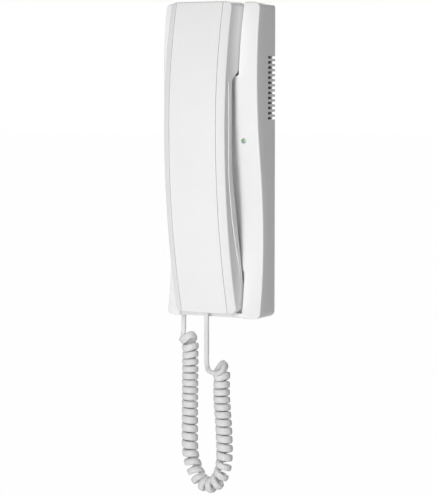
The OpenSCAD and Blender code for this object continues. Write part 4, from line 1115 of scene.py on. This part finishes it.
FINISHES = {
    "white_shell": finish("white_shell", (0.86, 0.86, 0.86), 0.42, specular=0.25),
    "white_panel": finish("white_panel", (0.85, 0.85, 0.85), 0.38, specular=0.25),
    "plate_plastic": finish("plate_plastic", (0.8, 0.8, 0.8), 0.5),
    "cord_jacket": finish("cord_jacket", (0.72, 0.72, 0.72), 0.5, grain=900, specular=0.35),
    "light_window": finish("light_window", (0.28, 0.42, 0.27), 0.2, bump=0.02),
    "led_body": finish("led_body", (0.75, 0.85, 0.72), 0.2),
    "dark_plastic": finish("dark_plastic", (0.05, 0.05, 0.055), 0.5),
    "black_rubber": finish("black_rubber", (0.02, 0.02, 0.02), 0.8, specular=0.2),
    "board_laminate": finish("board_laminate", (0.05, 0.22, 0.1), 0.4, mottle=0.15),
    "terminal_plastic": finish("terminal_plastic", (0.12, 0.42, 0.2), 0.45),
    "capacitor_can": finish("capacitor_can", (0.6, 0.62, 0.66), 0.35, metallic=0.7),
    "capsule_can": finish("capsule_can", (0.7, 0.7, 0.7), 0.3, metallic=1),
    "screw_steel": finish("screw_steel", (0.66, 0.66, 0.66), 0.3, metallic=1),
    "spring_steel": finish("spring_steel", (0.6, 0.6, 0.62), 0.28, metallic=1),
    "ballast_iron": finish("ballast_iron", (0.25, 0.25, 0.26), 0.55, metallic=1, mottle=0.2),
    "wire_red": finish("wire_red", (0.5, 0.05, 0.04), 0.4),
}


def dress(obj, slot):
    """Gives an object the finish of its material slot."""
    obj.data.materials.clear()
    obj.data.materials.append(FINISHES[slot])


for node in frame["record"]["subparts"]:
    obj = bpy.data.objects.get(node["node"])
    if obj is not None:
        dress(obj, node["material_slot"])
for piece in (cover, vent_shade_sheet, handset_front, handset_panel, handset_rear, door_key, domed_plunger,
              light_lens, curly_cord):
    dress(piece, piece["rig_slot"])


# ---------- camera, lights and floor ----------

CAMERA_PLACE = (0.53412, -1.09559, 0.04387)
CAMERA_TARGET = (-0.00735, 0, -0.06004)
LENS = 130.33
SENSOR_W = 36
CLIP_NEAR = 0.1
CLIP_FAR = 50
LIGHT_TARGET = Vector((0, 0, -0.03))
LIGHT_DISTANCE = 1.6
AMBIENT = 0.12
FLOOR_Z = -1000
FLOOR_R = 60000
FLOOR_SIDES = 64
FLOOR_SHADE = 0.9
FLOOR_GLOW = 0.99

# Each softbox: its azimuth and elevation in degrees, width and height in metres, and level.
# Azimuth 0 is straight in front and positive to the right. The level is the share of plain white
# that the softbox gives to a white face turned towards it.
SOFTBOXES = {
    "front_light": (13, 2, 0.5, 1.6, 0.86),
    "left_light": (-70, 0, 0.3, 1.2, 0.12),
    "back_light": (190, 15, 0.5, 1.2, 0.5),
}


def aim(obj, place, target):
    """Puts a camera or lamp in its place and turns it to look at the target."""
    obj.location = place
    obj.rotation_mode = "QUATERNION"
    obj.rotation_quaternion = (Vector(target) - Vector(place)).to_track_quat("-Z", "Y")


def make_camera():
    """The camera at the front view."""
    data = bpy.data.cameras.new("camera")
    data.lens = LENS
    data.sensor_width = SENSOR_W
    data.clip_start = CLIP_NEAR
    data.clip_end = CLIP_FAR
    camera = new_object("camera", data)
    aim(camera, CAMERA_PLACE, CAMERA_TARGET)
    bpy.context.scene.camera = camera


def soft_light(name, azimuth, elevation, width, height, level):
    """A softbox that looks at the object."""
    data = bpy.data.lights.new(name, "AREA")
    data.shape = "RECTANGLE"
    data.size = width
    data.size_y = height
    data.energy = level * (math.pi * LIGHT_DISTANCE) ** 2
    lamp = new_object(name, data)
    a, e = math.radians(azimuth), math.radians(elevation)
    reach = Vector((math.sin(a) * math.cos(e), -math.cos(a) * math.cos(e), math.sin(e)))
    aim(lamp, LIGHT_TARGET + reach * LIGHT_DISTANCE, LIGHT_TARGET)


def seen_directly(nodes, links):
    """1 for what is seen straight or in gloss and glass, and 0 for light that falls on the object."""
    path = nodes.new("ShaderNodeLightPath")
    seen = path.outputs["Is Camera Ray"]
    for label in ("Is Glossy Ray", "Is Transmission Ray"):
        either = nodes.new("ShaderNodeMath")
        either.operation = "MAXIMUM"
        links.new(seen, either.inputs[0])
        links.new(path.outputs[label], either.inputs[1])
        seen = either.outputs[0]
    return seen


def make_world():
    """White to the eye, and a plain grey level to the object."""
    world = bpy.data.worlds.new("world")
    bpy.context.scene.world = world
    world.use_nodes = True
    nodes, links = world.node_tree.nodes, world.node_tree.links
    level = nodes.new("ShaderNodeMapRange")
    level.inputs["To Min"].default_value = AMBIENT
    level.inputs["To Max"].default_value = 1
    links.new(seen_directly(nodes, links), level.inputs["Value"])
    background = nodes["Background"]
    background.inputs["Color"].default_value = (1, 1, 1, 1)
    links.new(level.outputs["Result"], background.inputs["Strength"])


def make_floor():
    """A pale floor that reads as white and still takes the object's shadow."""
    bm = bmesh.new()
    bmesh.ops.create_circle(bm, cap_ends=True, segments=FLOOR_SIDES, radius=FLOOR_R)
    bmesh.ops.translate(bm, vec=(0, 0, FLOOR_Z), verts=bm.verts)
    floor = to_object(bm, "floor")
    material = bpy.data.materials.new("floor")
    material.use_nodes = True
    nodes, links = material.node_tree.nodes, material.node_tree.links
    shader = nodes["Principled BSDF"]
    shader.inputs["Base Color"].default_value = (FLOOR_SHADE, FLOOR_SHADE, FLOOR_SHADE, 1)
    shader.inputs["Roughness"].default_value = 1
    glow = nodes.new("ShaderNodeEmission")
    share = nodes.new("ShaderNodeMath")
    share.operation = "MULTIPLY"
    share.inputs[1].default_value = FLOOR_GLOW
    links.new(seen_directly(nodes, links), share.inputs[0])
    both = nodes.new("ShaderNodeMixShader")
    links.new(share.outputs[0], both.inputs["Fac"])
    links.new(shader.outputs["BSDF"], both.inputs[1])
    links.new(glow.outputs["Emission"], both.inputs[2])
    links.new(both.outputs["Shader"], nodes["Material Output"].inputs["Surface"])
    floor.data.materials.append(material)


make_camera()
make_world()
for name, settings in SOFTBOXES.items():
    soft_light(name, *settings)
make_floor()

bpy.context.scene.view_settings.view_transform = "Standard"
